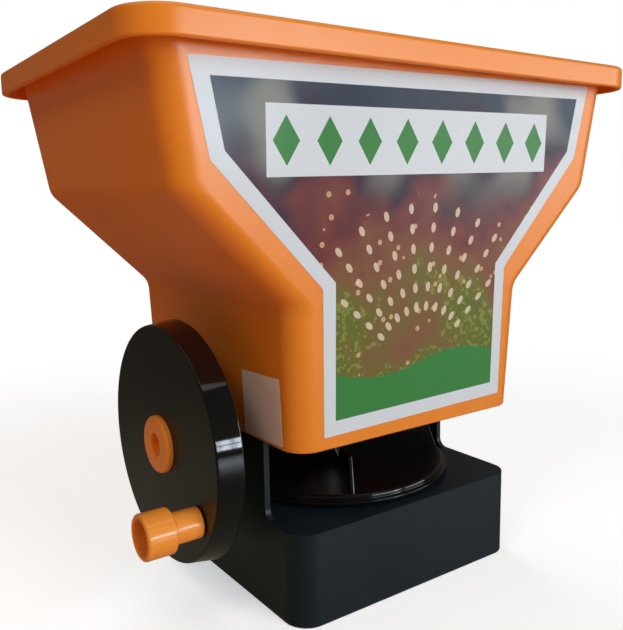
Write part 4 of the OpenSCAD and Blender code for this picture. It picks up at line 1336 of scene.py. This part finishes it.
# %% Screen and table top
SCREEN_R = 1.7
SCREEN_H = 2.6
SCREEN_STEPS = 32
TABLE_Z = 0.0005
PAINTED_LIGHT_MIDDLE = (-0.13, 0.06, 0)
screen_work = bmesh.new()
bmesh.ops.create_cone(screen_work, segments=SCREEN_STEPS, radius1=SCREEN_R, radius2=SCREEN_R, depth=SCREEN_H,
                      matrix=Matrix.Translation((0, 0, SCREEN_H / 2)))
screen_cloth = stage_material("screen_cloth", (0.12, 0.11, 0.095), roughness=1.0, shine=0.0, glow=0.7)[0]
only_mirrored("dim_screen", screen_work, screen_cloth)
table_wood, table_tree, table_shader, table_place = stage_material(
    "table_wood", (0.12, 0.115, 0.085), roughness=0.25, shine=0.3)
# The table top's glow is a painted pool of light: strongest round a point just behind and left of the
# object, weak further out.
table_distance = add_node(table_tree, "ShaderNodeVectorMath", {
    0: table_place, 1: PAINTED_LIGHT_MIDDLE,
}, operation="DISTANCE")
painted_table_light = add_node(table_tree, "ShaderNodeMapRange", {
    "Value": table_distance.outputs["Value"],
    "From Min": 0.06, "From Max": 0.28, "To Min": 1.2, "To Max": 0.1,
})
feed(table_tree, table_shader.inputs["Emission Strength"], painted_table_light.outputs["Result"])
table_work = bmesh.new()
bmesh.ops.create_circle(table_work, cap_ends=True, segments=SCREEN_STEPS, radius=SCREEN_R,
                        matrix=Matrix.Translation((0, 0, TABLE_Z)))
only_mirrored("table_top", table_work, table_wood)

# %% Window
PANE_R = 1.5
PANE_FROM = math.radians(272)
PANE_STEP = math.radians(1.7)
PANE_COUNT = 16
PANE_HEIGHTS = (0.18, 0.3)
PANE_W = 0.032
PANE_H = 0.1
pane_work = bmesh.new()
pane_shape = Matrix.Rotation(QUARTER_TURN, 4, "Y") @ Matrix.Diagonal((PANE_H, PANE_W, 1, 1))
for column in range(PANE_COUNT):
    facing = Matrix.Rotation(PANE_FROM + PANE_STEP * column, 4, "Z")
    for middle_z in PANE_HEIGHTS:
        pane_place = facing @ Matrix.Translation((PANE_R, 0, middle_z))
        bmesh.ops.create_grid(pane_work, x_segments=1, y_segments=1, size=0.5,
                              matrix=pane_place @ pane_shape)
pane_glow = stage_material("pane_glow", (0.75, 0.88, 1), roughness=1.0, shine=0.0, glow=20.0)[0]
only_mirrored("window_panes", pane_work, pane_glow)

# %% [markdown]
# ## Lamps
# Four lamps give the soft light: a large key and a low one from the front, a warm one from the left and a
# weak one from behind. Two more give only sheen. Kept apart like this, the gloss can sit where it should
# without making the plain colours paler.

# %% Lamps
LAMP_AIM = Vector((0, 0, 0.11))
DAYLIGHT = (0.9, 0.96, 1)
SKYLIGHT = (0.9, 0.95, 1)
PALE_LIGHT = (0.95, 0.97, 1)
WARM_LIGHT = (1, 0.78, 0.6)


def soft_lamp(name, place, size, watts, colour, sheen=False):
    """A square area lamp that looks at the object and gives either soft light or only sheen."""
    data = bpy.data.lights.new(name, "AREA")
    data.size = size
    data.energy = watts
    data.color = colour
    lamp = bpy.data.objects.new(name, data)
    lamp.location = place
    lamp.rotation_euler = (LAMP_AIM - Vector(place)).to_track_quat("-Z", "Y").to_euler()
    lamp.visible_glossy = sheen
    lamp.visible_diffuse = not sheen
    bpy.context.collection.objects.link(lamp)


soft_lamp("key", (0.3, -1.25, 0.75), size=0.7, watts=7, colour=DAYLIGHT)
soft_lamp("front", (0.05, -1.4, 0.15), size=0.8, watts=8.6, colour=DAYLIGHT)
soft_lamp("left", (-0.8, -0.35, 1.0), size=0.4, watts=2.5, colour=WARM_LIGHT)
soft_lamp("back", (0.2, 0.9, 0.9), size=0.45, watts=4, colour=PALE_LIGHT)
soft_lamp("front_sheen", (1.15, -0.96, 0.22), size=0.7, watts=5.2, colour=SKYLIGHT, sheen=True)
soft_lamp("rim_sheen", (0.74, -1.33, 0.52), size=0.25, watts=2.4, colour=PALE_LIGHT, sheen=True)
bpy.context.scene.view_settings.view_transform = "Standard"
print(len(bpy.data.lights), "lamps are on")
